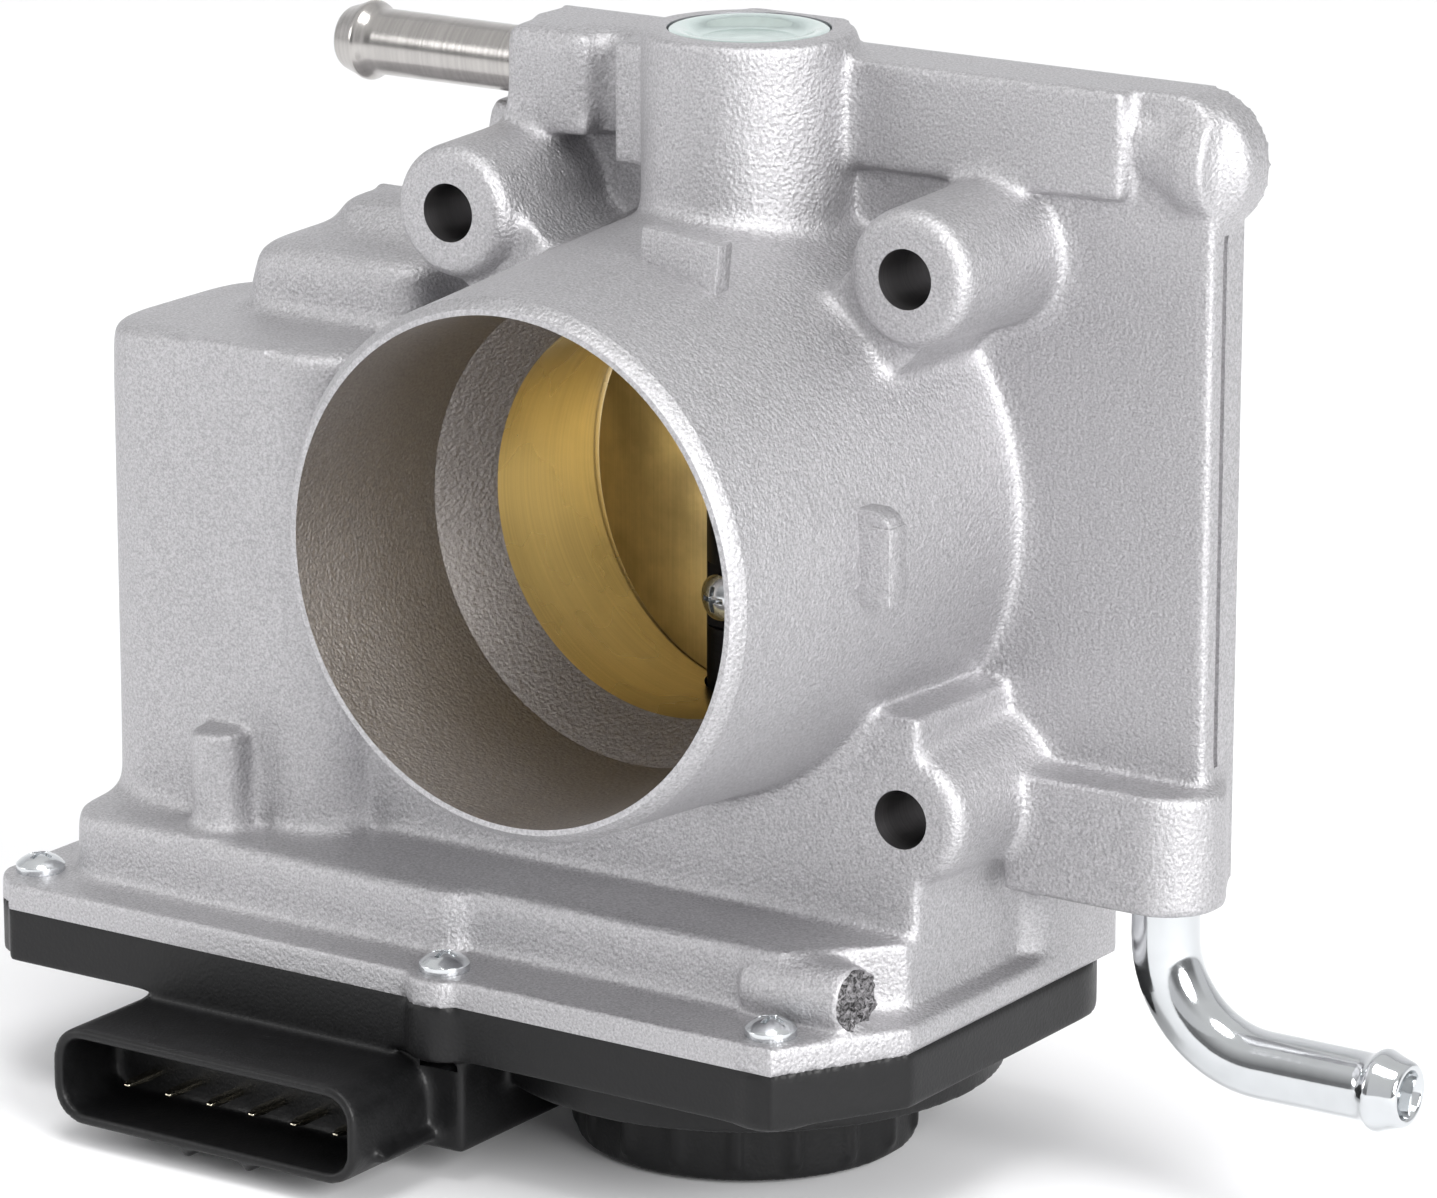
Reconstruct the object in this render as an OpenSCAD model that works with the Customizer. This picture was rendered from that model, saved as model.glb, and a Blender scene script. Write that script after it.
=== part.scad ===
// Electronic throttle body: cast housing, throttle valve on a vertical shaft,
// two-stage gear drive with motor, moulded gear cover with connector, coolant nipples.
// Frame: origin on the bore axis in the rear mounting face, +Y out of that face
// (the way the air leaves), +Z up, +X towards the bent coolant pipe.
// Every module below is drawn about the throttle shaft axis and moved by in_frame().

/* [Air duct] */
// Diameter of the throttle bore
bore_d = 50; // [44:0.5:52]
// Diameter of the duct at the inlet mouth
inlet_d = 60.6; // [58:0.2:62]
// Distance from the inlet mouth to the shaft axis
inlet_len = 50.2; // [44:0.2:60]
// Distance from the shaft axis to the rear mounting face
mount_len = 11.5; // [11:0.1:13]
// Wall of the inlet spigot at its mouth
spigot_wall = 1.9; // [1.6:0.1:3]

/* [Mounting] */
// Hole spacing of the mounting pattern, both ways
bolt_pitch = 65; // [62:0.5:68]
// Diameter of the mounting holes
bolt_hole_d = 7.2; // [6.4:0.1:8]
// Radius of a bolt boss at its front face
bolt_boss_r = 8.2; // [7.5:0.1:9.5]
// Distance from the shaft axis forward to the bolt boss faces
bolt_face_len = 16.4; // [13:0.1:20]
// Thickness of the mounting flange
flange_t = 7.5; // [6:0.1:9]
// Distance from the bore axis to the right edge of the flange
flange_right = 61.4; // [61:0.2:70]
// Distance from the bore axis to the left edge of the flange
flange_left = 43; // [42:0.5:46]
// Height of the flange above the bore axis
flange_top = 53.4; // [53:0.2:56]

/* [Throttle valve] */
// Diameter of the throttle shaft
shaft_d = 10; // [9:0.1:11]
// Thickness of the throttle plate
plate_t = 2; // [1.6:0.1:2.4]
// Opening angle of the plate at rest, from square across the bore
rest_angle = 11; // [8:0.5:14]
// Height of the upper shaft boss above the bore axis
top_boss_h = 56; // [54:0.5:60]
// Radius of the upper shaft boss
top_boss_r = 12.9; // [12:0.1:14]
// Outside diameter of both shaft bearings
bearing_d = 14; // [13:0.5:15]
// Length of a shaft bearing
bearing_len = 10; // [8:0.5:11]
// Diameter of the core plug
plug_d = 19.7; // [18:0.1:20]

/* [Gear drive] */
// Distance from the bore axis down to the gear case joint
joint_drop = 58.8; // [58.4:0.2:62]
// Motor axis to the left of the shaft axis
motor_dx = 63.5; // [62.5:0.1:64]
// Motor axis ahead of the shaft axis
motor_dy = 6; // [5.4:0.1:6.6]
// Outside diameter of the motor can
motor_d = 30; // [28:0.5:30.4]
// Length of the motor can
motor_len = 56; // [50:0.5:57]
// Module of the motor gear pair
module_a = 0.8; // [0.79:0.01:0.81]
// Teeth of the motor pinion
teeth_pinion = 14; // [14:1:15]
// Teeth of the large intermediate gear
teeth_large = 58; // [57:1:58]
// Module of the sector gear pair
module_b = 1; // [0.99:0.01:1.01]
// Teeth of the small intermediate gear
teeth_small = 16; // [16:1:17]
// Teeth of the sector gear on a full circle
teeth_sector = 56; // [55:1:56]
// Plate travel from rest to the closed stop
travel_close = 10; // [4:0.5:10]
// Plate travel from rest to wide open
travel_open = 78; // [60:1:78]

/* [Gear cover] */
// Height of the cover edge below the joint
cover_edge_h = 6.8; // [6:0.1:8]
// General wall of the cover
cover_wall = 2; // [1.6:0.1:2.6]
// Radius of the sensor drum under the shaft
drum_r = 21; // [20:0.2:23]
// Depth of the sensor drum below the joint
drum_drop = 22.9; // [22:0.1:27]
// Width of the connector shroud
plug_w = 46.2; // [42:0.2:47]
// Height of the connector shroud
plug_h = 12.4; // [11:0.1:13]
// Distance the connector mouth stands ahead of the shaft axis
plug_reach = 52.2; // [49:0.2:54]
// Number of blades in the connector
plug_pins = 6; // [4:1:7]
// Spacing of the blades
plug_pitch = 6.4; // [5:0.1:6.4]

/* [Coolant nipples] */
// Outside diameter of both nipples
nipple_d = 8.2; // [7.6:0.1:8.6]
// Bore of both nipples
nipple_bore = 5.8; // [5:0.1:6.2]
// Free length of the straight nipple
nipple_len = 28.2; // [18:0.2:32]
// Centreline radius of the bend
bend_r = 14; // [12:0.5:16]
// Length of the bent pipe beyond its bend
bend_tail = 19.2; // [14:0.2:26]

/* [Clearances] */
// Radial running clearance of the shaft and the gears
run_gap = 0.03; // [0.02:0.01:0.06]
// Radial gap from the throttle plate to its bore
plate_gap = 0.07; // [0.05:0.01:0.1]
// Gap between parts that must not touch
free_gap = 0.6; // [0.4:0.1:1]
// Tooth thinning for backlash, along the pitch circle
backlash = 0.12; // [0.08:0.01:0.2]

/* [Hidden] */
$fn = 96;
cut = 0.1;                                    // overrun of a cutting tool past a face

// Duct
bore_r = bore_d / 2;
inlet_r = inlet_d / 2;
inlet_end_r = inlet_r - 1;                    // draft of the inlet down to its step
step_front = -24;                             // start of the cone between inlet and bore
step_back = -17;                              // end of that cone
spigot_r = inlet_r + spigot_wall;
tube_base_r = spigot_r + 3.7;                 // the outside widens towards the flange
lip_len = 1.6;                                // bevel round the mouth
lip_t = 0.7;                                  // land left at the mouth

// Mounting flange
bolt_x = bolt_pitch / 2;
flange_front = mount_len - flange_t;
flange_bottom = -46;
boss_bevel = 1.2;                             // bevel round the front of a bolt boss
boss_draft = 1;                               // growth of a bolt boss towards the flange
gallery_z = 47.4;                             // coolant gallery, along X in the top rib
gallery_y = 5;
gallery_r = 2.3;
rib_front = 1.2;                              // front of the gallery rib
nipple_block_front = -2.6;                    // front of the block that holds the straight nipple
nipple_block_end = -22;
rib_low = 40.5;
rib_end = 50.6;
gallery_boss_r = 6.8;
gallery_boss_z = 45.2;
gallery_cone = 7.5;                           // length of its cone
ear_r = 8.6;
ear_y = mount_len - 5;                        // die joint on the edge of the flange
riser_x = 56.7;                               // coolant riser, down the right edge
riser_y = 7.6;
riser_r = 2;
link_y = mount_len - 3;                       // floor of the channel that passes the shaft

// Shaft train, heights from the bore axis
shaft_r = shaft_d / 2;
bearing_r = bearing_d / 2;
shaft_end_r = 3.5;                            // seat of the sector gear
shaft_top = 40;
upper_seat = 28;                              // underside of the upper bearing
plug_r = plug_d / 2;
plug_t = 5;
seal_t = 3;
plate_screw_z = 13.2;
plate_flat = 0.8;                             // depth of the flats under the plate screws

// Gear case levels
case_top = -47;                               // top of the case
case_wall = 3;
ceiling = case_top - case_wall;
joint_z = -joint_drop;
rim_t = 3.4;
rim_top = joint_z + rim_t;
cover_low = joint_z - cover_edge_h;
guide_r = 8.4;                                // boss that guides the spring
guide_low = joint_z + 3.2;
lower_seat = guide_low + 0.3;                 // underside of the lower bearing
front_y = -38.5;                              // front edge of the case joint
right_x = 38.2;
back_y = 28.5;
left_x = -90.2;
case_right = 34.8;                            // right wall of the case above the joint
corner_r = 12;
lobe_r = 4.8;
bulge_r = 33.2;                               // the joint bulges round the sector gear
seal_in = 0.8;                                // cover seal, from and to these distances
seal_out = 2.2;                               // outside the gear space
seal_depth = 1.6;

// Fasteners
m3_r = 1.5;
m4_r = 2;
m4_head_r = 3.1;
m4_head_h = 2.3;
insert_r = 3.1;
screw_gap = 0.25;
cover_screw_at = [[-85.4, -32], [-20, -35.6], [26, -34], [29.5, 19], [-13.5, 32.4], [-85, 20.5]];
motor_screw_angles = [130, 310];
terminal_angles = [40, 220];

// Gears
pitch_pinion = module_a * teeth_pinion / 2;
pitch_large = module_a * teeth_large / 2;
pitch_small = module_b * teeth_small / 2;
pitch_sector = module_b * teeth_sector / 2;
dist_a = pitch_pinion + pitch_large;
dist_b = pitch_small + pitch_sector;
motor_x = -motor_dx;
motor_y = -motor_dy;
motor_dist = norm([motor_x, motor_y]);
// The intermediate axis closes the triangle of the two gear distances
along = (dist_b * dist_b - dist_a * dist_a + motor_dist * motor_dist) / (2 * motor_dist);
aside = sqrt(dist_b * dist_b - along * along);
idle_x = (along * motor_x + aside * motor_y) / motor_dist;
idle_y = (along * motor_y - aside * motor_x) / motor_dist;
idle_angle = atan2(idle_y, idle_x);           // from the shaft to the intermediate axis
large_top = joint_z - 0.5;
large_t = 3.3;
small_low = joint_z - 10.6;
sector_top = joint_z - 5;
sector_t = 5;
hub_r = 8.5;
hub_top = joint_z + 1.6;
hub_low = sector_top - sector_t;
cup_r = 13;
cup_low = joint_z - 17;
cup_wall = 1.6;
drum_floor = 1.8;                             // floor of the sensor drum
nut_t = 3.4;
shaft_low = hub_low - nut_t - 0.4;
idle_pin_r = 2.5;
idle_pin_low = joint_z - 12.4;
sector_margin = 12;                           // sector teeth beyond the contact, degrees
// Whole teeth that the sector keeps to either side of the contact, and its end faces
sector_step = 360 / teeth_sector;
sector_first = ceil(-(travel_close + sector_margin) / sector_step - 0.5);
sector_last = floor((travel_open + sector_margin) / sector_step - 0.5);
sector_from = idle_angle + sector_first * sector_step;
sector_to = idle_angle + (sector_last + 1) * sector_step;
// Closed stop: a screw whose tip faces the far end of the sector
stop_gap = 0.25;                              // left between a stop and the sector at its limit
stop_y = -19.5;
stop_z = sector_top - sector_t / 2;
stop_tip_x = (m4_r - stop_y) * tan(sector_to + travel_close - 270) + stop_gap;
// Open stop: a round post in the path of the near end
open_post_r = 2.5;
open_post_at = 21.6;                          // from the shaft axis
open_post_angle = sector_from - travel_open - asin((open_post_r + stop_gap) / open_post_at);
dome_r = pitch_sector + module_b + 1 + cover_wall;
dome_low = joint_z - 12.8;
gear_case_r = pitch_large + module_a + free_gap;

// Return spring, a coil of round wire between the ceiling and the sector hub
spring_r = 10.4;
spring_wire = 0.8;
spring_turns = 2.75;
spring_steps = 18;                            // sections per turn
spring_sides = 8;
spring_top = ceiling - 1.3;
spring_low = hub_top + 1.3;

// Motor
can_r = motor_d / 2;
can_wall = 1.4;
can_low = ceiling;
can_top = can_low + motor_len;
motor_shaft_r = 1.5;
pinion_top = large_top + 0.4;
pinion_low = large_top - large_t - 0.8;
motor_shaft_low = pinion_low - 0.4;
end_cap_t = 2.4;
tower_gap = 0.5;
tower_top = 14;
tower_front = -23.4;
motor_screw_r = 18.4;                         // motor screws from the motor axis
motor_ear_r = 3.65;

// Connector
plug_x = -44.6;
plug_z = -72.9;
plug_wall = 1.4;
plug_corner = 4.4;
plug_depth = 11;
plug_root = -33;
pin_w = 1.5;
pin_t = 0.7;
pin_tip = plug_reach - 5;
pin_z = plug_z - 1.8;
block_low = joint_z - 19.2;

// Nipples
nipple_r = nipple_d / 2;
nipple_in_r = nipple_bore / 2;
nipple_seat = 11;
bead_r = nipple_r + 0.85;
block_left = -34.6;
pipe_y = 4.4;
pipe_boss_low = -43.8;
bend_top = -47.5;

// ---------- helpers ----------
module in_frame() { translate([0, -mount_len, 0]) children(); }

// Cylinder along +Y from y0 to y1
module y_cyl(x, z, y0, y1, r0, r1) {
    translate([x, y0, z]) rotate([-90, 0, 0]) cylinder(h = y1 - y0, r1 = r0, r2 = r1);
}

// Cylinder along +Z from z0 to z1
module z_cyl(x, y, z0, z1, r) { translate([x, y, z0]) cylinder(h = z1 - z0, r = r); }

// Block between two corners
module block(lo, hi) { translate(lo) cube(hi - lo); }

// Flat outline with round corners, from its low corner to its high one
module round_rect(lo, hi, r) {
    translate([lo[0] + r, lo[1]]) square([hi[0] - lo[0] - 2 * r, hi[1] - lo[1]]);
    translate([lo[0], lo[1] + r]) square([hi[0] - lo[0], hi[1] - lo[1] - 2 * r]);
    for (x = [lo[0] + r, hi[0] - r], y = [lo[1] + r, hi[1] - r]) translate([x, y]) circle(r = r);
}

// Vertical block with round upright edges
module post(lo, hi, r) {
    translate([0, 0, lo[2]]) linear_extrude(hi[2] - lo[2]) round_rect([lo[0], lo[1]], [hi[0], hi[1]], r);
}

// Plate along Y: outline drawn in X and Z
module y_plate(y0, y1) { translate([0, y1, 0]) rotate([90, 0, 0]) linear_extrude(y1 - y0) children(); }

// Half the angle of an involute tooth at radius rho, in degrees
function roll(rho, base) = let (t = sqrt(max(0, rho * rho / base / base - 1))) t * 180 / PI - atan(t);
function half_tooth(rho, m, n) = let (pitch = m * n / 2, base = pitch * cos(20))
    90 / n - backlash / pitch * 90 / PI / 2 + roll(pitch, base) - roll(max(rho, base), base);

// One tooth, centred on angle a
function tooth(a, m, n) = let (p = m * n / 2, root = p - 1.2 * m, tip = p + 0.92 * m,
                               radii = [root, p - 0.55 * m, p, p + 0.5 * m, tip])
    concat([for (i = [0:4]) let (b = a - half_tooth(radii[i], m, n)) radii[i] * [cos(b), sin(b)]],
           [for (i = [4:-1:0]) let (b = a + half_tooth(radii[i], m, n)) radii[i] * [cos(b), sin(b)]]);

// Full toothed outline with a tooth centred on angle a
module gear_outline(m, n, a) {
    polygon([for (i = [0:n - 1]) each tooth(a + i * 360 / n, m, n)]);
}

// Ring of rectangular section
module ring(r_in, r_out, z0, z1) {
    translate([0, 0, z0]) difference() {
        cylinder(h = z1 - z0, r = r_out);
        translate([0, 0, -cut]) cylinder(h = z1 - z0 + 2 * cut, r = r_in);
    }
}

// Pan-head screw pointing down from z, with a cross recess
module pan_screw(r, head_r, head_h, len) {
    difference() {
        union() {
            translate([0, 0, -len]) cylinder(h = len, r = r);
            rotate_extrude() intersection() {
                square([head_r, head_h]);
                translate([0, head_h - head_r * 1.35]) circle(r = head_r * 1.35);
            }
        }
        for (a = [0, 90]) rotate([0, 0, a])
            translate([-head_r * 0.55, -head_r * 0.11, head_h - 1.2])
                cube([head_r * 1.1, head_r * 0.22, 2]);
    }
}

// Radial draft blocks between a bolt boss and the duct, in X and Z
module boss_web(x, z) {
    rotate([0, 0, atan2(z, x)]) translate([bore_r, -6.5]) square([norm([x, z]) - bore_r, 13]);
}

// ---------- outlines of the gear case ----------
// Joint between housing and cover
module joint_outline() {
    polygon([[left_x, -32], [-85.4, front_y], [29, front_y], [right_x, -22.5], [right_x, back_y - corner_r],
             [right_x - corner_r, back_y], [-66, back_y], [-88, 19.5], [left_x, 8]]);
    translate([right_x - corner_r, back_y - corner_r]) circle(r = corner_r);
    for (p = cover_screw_at) translate(p) circle(r = lobe_r);
    circle(r = bulge_r);
    translate([idle_x, idle_y]) circle(r = gear_case_r + 5);
}

// Space inside the joint that the cover and its gears need
module case_space() {
    round_rect([-80, -30], [24, 20], 4);
    translate([idle_x, idle_y]) circle(r = gear_case_r);
}

// Outside of the case walls above the joint
module case_outline() {
    round_rect([-83.4, -32], [-18.6, 24.5], 8);
    round_rect([-40, -29], [26, back_y], 6);
    round_rect([-14, -19.5], [case_right, back_y - 3], 6);
    polygon([[10, -29], [24, -29], [case_right, -18], [case_right, 0], [10, 0]]);
}

// ---------- housing ----------
module duct_body() {
    rotate([-90, 0, 0]) {
        translate([0, 0, -inlet_len]) cylinder(h = lip_len, r1 = inlet_r + lip_t, r2 = spigot_r);
        translate([0, 0, -inlet_len + lip_len])
            cylinder(h = inlet_len - lip_len + flange_front, r1 = spigot_r, r2 = tube_base_r);
        translate([0, 0, flange_front - cut]) cylinder(h = flange_t, r = tube_base_r);
    }
    // the shaft boss, cut off flush with the mounting face
    intersection() {
        z_cyl(0, 0, 0, top_boss_h, top_boss_r);
        block([-top_boss_r - 1, -top_boss_r - 1, -1], [top_boss_r + 1, mount_len, top_boss_h + 1]);
    }
}

module flange_body() {
    y_plate(flange_front, mount_len)
        round_rect([-flange_left, flange_bottom], [flange_right, flange_top], 5);
    // rib that carries the coolant gallery, with the nipple block at its left end
    block([block_left, rib_front, rib_low], [rib_end, mount_len, flange_top]);
    block([block_left, nipple_block_front, rib_low], [nipple_block_end, mount_len, flange_top]);
    // boss round the right end of the gallery: a cone that swells towards the edge of the flange
    intersection() {
        translate([rib_end, riser_y, gallery_boss_z]) rotate([0, 90, 0]) {
            cylinder(h = gallery_cone, r1 = gallery_boss_r - 3, r2 = gallery_boss_r);
            translate([0, 0, gallery_cone - cut])
                cylinder(h = flange_right - rib_end - gallery_cone + cut, r = gallery_boss_r);
        }
        block([0, -cut, 0], [flange_right + cut, mount_len, flange_top]);
    }
    // ear round the same end, that swells out behind the die joint
    y_cyl(riser_x - 0.6, flange_top - ear_r, flange_front, ear_y, ear_r - 2.6, ear_r);
    y_cyl(riser_x - 0.6, flange_top - ear_r, ear_y, mount_len, ear_r, ear_r);
    // boss of the bent pipe, and the block that joins it to the bolt boss
    z_cyl(riser_x, pipe_y, pipe_boss_low, -29, mount_len - pipe_y);
    block([bolt_x + 5.5, 2 * pipe_y - mount_len, pipe_boss_low], [riser_x, mount_len, -29]);
    for (x = [-bolt_x, bolt_x], z = [-bolt_x, bolt_x]) {
        y_cyl(x, z, -bolt_face_len, -bolt_face_len + boss_bevel, bolt_boss_r - boss_bevel, bolt_boss_r);
        y_cyl(x, z, -bolt_face_len + boss_bevel, mount_len, bolt_boss_r, bolt_boss_r + boss_draft);
        y_plate(-bolt_face_len + 3, mount_len) boss_web(x, z);
    }
}

module case_body() {
    // block between the duct and the case, its front flush with the bolt bosses
    block([-46, -bolt_face_len, case_top - cut], [case_right, mount_len, -20]);
    // rear part of the case wall, flush with the joint
    post([20, 6, joint_z], [right_x, back_y, case_top], 6);
    block([-52, -11, case_top - cut], [-26, mount_len, 10]);
    translate([0, 0, rim_top - cut]) linear_extrude(case_top - rim_top + cut) case_outline();
    translate([0, 0, joint_z]) linear_extrude(rim_t) joint_outline();
    // motor tower with two steps on top
    post([-83.6, tower_front, case_top - cut], [-44.5, mount_len, tower_top], 9);
    post([-72, -7.5, 0], [-44, mount_len - 0.5, 23], 5);
    post([-65.6, 2.5, 0], [-40, mount_len - 0.5, 28], 4);
    // small ejector post on the ledge
    z_cyl(-61.5, -25.2, case_top, -34.5, 3.8);
}

// Stops that the sector meets at its two limits
module stop_posts() {
    block([stop_tip_x + 1.3, stop_y - 4.5, small_low + 1], [stop_tip_x + 7.3, stop_y + 4, ceiling + cut]);
    z_cyl(open_post_at * cos(open_post_angle), open_post_at * sin(open_post_angle),
          small_low + 1, ceiling + cut, open_post_r);
}

module housing() {
    color("#b9b7ba") in_frame() difference() {
        union() {
            difference() {
                union() { duct_body(); flange_body(); case_body(); }
                // space of the gear case above the joint
                translate([0, 0, joint_z - cut]) linear_extrude(ceiling - joint_z + cut) intersection() {
                    case_space();
                    union() {
                        round_rect([-80.4, -29], [-21.6, 22], 4);
                        round_rect([-40, -26], [27, back_y - 2.5], 4);
                    }
                }
            }
            stop_posts();
            z_cyl(0, 0, guide_low, ceiling + cut, guide_r);
        }
        duct_cut();
        shaft_cuts();
        bolt_cuts();
        motor_cuts();
        coolant_cuts();
        cover_cuts();
    }
}

module duct_cut() {
    rotate([-90, 0, 0]) {
        translate([0, 0, -inlet_len - cut]) cylinder(h = cut * 2, r = inlet_r);
        translate([0, 0, -inlet_len]) cylinder(h = inlet_len + step_front, r1 = inlet_r, r2 = inlet_end_r);
        translate([0, 0, step_front]) cylinder(h = step_back - step_front, r1 = inlet_end_r, r2 = bore_r);
        translate([0, 0, step_back - 0.01]) cylinder(h = mount_len - step_back + cut, r = bore_r);
    }
}

module shaft_cuts() {
    z_cyl(0, 0, guide_low - cut, top_boss_h - plug_t, shaft_r + 0.3);
    z_cyl(0, 0, upper_seat, top_boss_h, bearing_r);
    z_cyl(0, 0, top_boss_h - plug_t, top_boss_h + cut, plug_r);
    z_cyl(0, 0, guide_low - cut, lower_seat + bearing_len + seal_t, bearing_r);
}

module bolt_cuts() {
    for (x = [-bolt_x, bolt_x], z = [-bolt_x, bolt_x])
        y_cyl(x, z, -bolt_face_len - cut, mount_len + cut, bolt_hole_d / 2, bolt_hole_d / 2);
}

module motor_cuts() {
    z_cyl(motor_x, motor_y, ceiling - cut, can_top + 1.6, can_r + tower_gap);
    translate([motor_x, motor_y, 0]) for (a = motor_screw_angles) rotate([0, 0, a])
        z_cyl(motor_screw_r, 0, ceiling - cut, ceiling + 8, m3_r);
}

module coolant_cuts() {
    translate([block_left - cut, gallery_y, gallery_z]) rotate([0, 90, 0]) {
        cylinder(h = nipple_seat + cut, r = nipple_r);
        cylinder(h = 22, r = gallery_r);
    }
    translate([15, gallery_y, gallery_z]) rotate([0, 90, 0])
        cylinder(h = riser_x - 15 + gallery_r, r = gallery_r);
    // links between the gallery and the channel behind the shaft boss
    for (x = [-17.6, 17.6]) y_cyl(x, gallery_z, gallery_y, link_y + cut, gallery_r, gallery_r);
    y_plate(link_y, mount_len + cut) round_rect([-20, gallery_z - 2.2], [20, gallery_z + 2.2], 2);
    z_cyl(riser_x, riser_y, -40, gallery_z, riser_r);
    y_cyl(riser_x, gallery_z, gallery_y, riser_y, gallery_r, gallery_r);
    z_cyl(riser_x, pipe_y, flange_bottom - cut, pipe_boss_low + nipple_seat, nipple_r);
    // the flange stops short of the straight nipple
    block([-flange_left - cut, flange_front - cut, gallery_z - nipple_r - 1.2],
          [block_left, mount_len + cut, flange_top + cut]);
}

module cover_cuts() {
    for (p = cover_screw_at) z_cyl(p[0], p[1], joint_z - cut, rim_top + cut, m4_r + screw_gap);
    for (p = cover_screw_at) z_cyl(p[0], p[1], rim_top, rim_top + 12, m4_head_r + 0.9);
    z_cyl(idle_x, idle_y, ceiling - cut, ceiling + 6, idle_pin_r);
    translate([stop_tip_x, stop_y, stop_z]) rotate([0, 90, 0]) cylinder(h = 12, r = m4_r);
}

// ---------- throttle valve ----------
module throttle_shaft() {
    color("#2b2b2e") in_frame() rotate([0, 0, -rest_angle]) difference() {
        union() {
            z_cyl(0, 0, hub_top - 0.6, shaft_top, shaft_r);
            z_cyl(0, 0, shaft_low, hub_top, shaft_end_r);
        }
        // slot for the plate, and the holes of its screws
        block([-shaft_r - cut, -plate_t / 2, -bore_r + 0.5], [shaft_r + cut, plate_t / 2, bore_r - 0.5]);
        for (z = [-plate_screw_z, plate_screw_z]) y_cyl(0, z, -shaft_r - cut, shaft_r - 1, m3_r, m3_r);
        for (z = [-plate_screw_z, plate_screw_z])
            block([-4, -shaft_r - cut, z - 4], [4, -shaft_r + plate_flat, z + 4]);
    }
}

module throttle_plate() {
    color("#c9a24b") in_frame() rotate([0, 0, -rest_angle]) difference() {
        intersection() {
            y_cyl(0, 0, -plate_t / 2, plate_t / 2, bore_r - plate_gap, bore_r - plate_gap);
            block([-bore_r, -plate_t, -bore_r + 0.5], [bore_r, plate_t, bore_r - 0.5]);
        }
        for (z = [-plate_screw_z, plate_screw_z]) y_cyl(0, z, -plate_t, plate_t, m3_r, m3_r);
    }
}

module plate_screws() {
    color("#c4c6c8") in_frame() rotate([0, 0, -rest_angle])
        for (z = [-plate_screw_z, plate_screw_z])
            translate([0, -shaft_r + plate_flat, z]) rotate([90, 0, 0])
                pan_screw(m3_r, 2.9, 2.2, 2 * shaft_r - plate_flat - 1.1);
}

module upper_bearing() {
    color("#9aa0a6") in_frame() ring(shaft_r + run_gap, bearing_r, upper_seat, upper_seat + bearing_len);
}

module lower_bearing() {
    color("#9aa0a6") in_frame() ring(shaft_r + run_gap, bearing_r, lower_seat, lower_seat + bearing_len);
}

module shaft_seal() {
    color("#1c1c1e") in_frame()
        ring(shaft_r + 2 * run_gap, bearing_r, lower_seat + bearing_len, lower_seat + bearing_len + seal_t);
}

// Dished plug with a raised rim
module core_plug() {
    color("#c9cdd0") in_frame() translate([0, 0, top_boss_h - plug_t]) rotate_extrude()
        polygon([[0, 2.6], [0, 3.8], [6.4, 3.8], [7.4, 4.6], [8.6, 5.1], [plug_r, 5], [plug_r, 0],
                 [plug_r - 1.3, 0], [plug_r - 1.3, 2.6]]);
}

// ---------- gears ----------
module sector_outline() {
    // the tooth gap at the contact meets a tooth of the small gear
    root = pitch_sector - 1.2 * module_b;
    teeth = [for (i = [sector_first:sector_last])
        each tooth(idle_angle + (i + 0.5) * sector_step, module_b, teeth_sector)];
    polygon(concat([[0, 0]], [root * [cos(sector_from), sin(sector_from)]], teeth,
                   [root * [cos(sector_to), sin(sector_to)]]));
}

module sector_gear() {
    color("#ded6c2") in_frame() difference() {
        union() {
            translate([0, 0, hub_low]) linear_extrude(sector_t) sector_outline();
            z_cyl(0, 0, hub_low, hub_top, hub_r);
            z_cyl(0, 0, cup_low, hub_low + sector_t, cup_r);
        }
        z_cyl(0, 0, cup_low - cut, hub_low, cup_r - cup_wall);
        z_cyl(0, 0, hub_low - cut, hub_top + cut, shaft_end_r);
        // weight pockets in the web
        for (a = [idle_angle + 12 : 22 : idle_angle + 60])
            z_cyl(20 * cos(a), 20 * sin(a), hub_low - cut, hub_low + 2.5, 2.8);
        z_cyl(0, 0, hub_top - 0.6, hub_top + cut, shaft_r);
    }
}

module sensor_magnets() {
    color("#3c3f44") in_frame() intersection() {
        ring(cup_r - cup_wall - 2.2, cup_r - cup_wall, cup_low + 0.3, hub_low - 0.4);
        for (a = [0, 180]) rotate([0, 0, a]) block([-8, 1.2, cup_low - 1], [8, cup_r, hub_low]);
    }
}

module shaft_nut() {
    color("#b9bdc1") in_frame() difference() {
        translate([0, 0, hub_low - nut_t]) cylinder(h = nut_t, r = 6, $fn = 6);
        z_cyl(0, 0, hub_low - nut_t - cut, hub_low + cut, shaft_end_r);
    }
}

// Closed ring of points round the wire of the spring at turn angle a
function spring_ring(a, z) = [for (k = [0:spring_sides - 1]) let (b = 360 * k / spring_sides)
    let (rho = spring_r + spring_wire * cos(b)) [rho * cos(a), rho * sin(a), z + spring_wire * sin(b)]];
module return_spring() {
    n = round(spring_turns * spring_steps);
    rise = spring_top - spring_low;
    pts = [for (i = [0:n]) each spring_ring(i * 360 / spring_steps, spring_low + rise * i / n)];
    sides = [for (i = [0:n - 1], k = [0:spring_sides - 1]) let (k2 = (k + 1) % spring_sides)
        let (low = i * spring_sides, high = low + spring_sides) [low + k, low + k2, high + k2, high + k]];
    lid_a = [for (k = [spring_sides - 1:-1:0]) k];
    lid_b = [for (k = [0:spring_sides - 1]) n * spring_sides + k];
    color("#8f949a") in_frame() polyhedron(pts, concat(sides, [lid_a, lid_b]));
}

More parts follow.
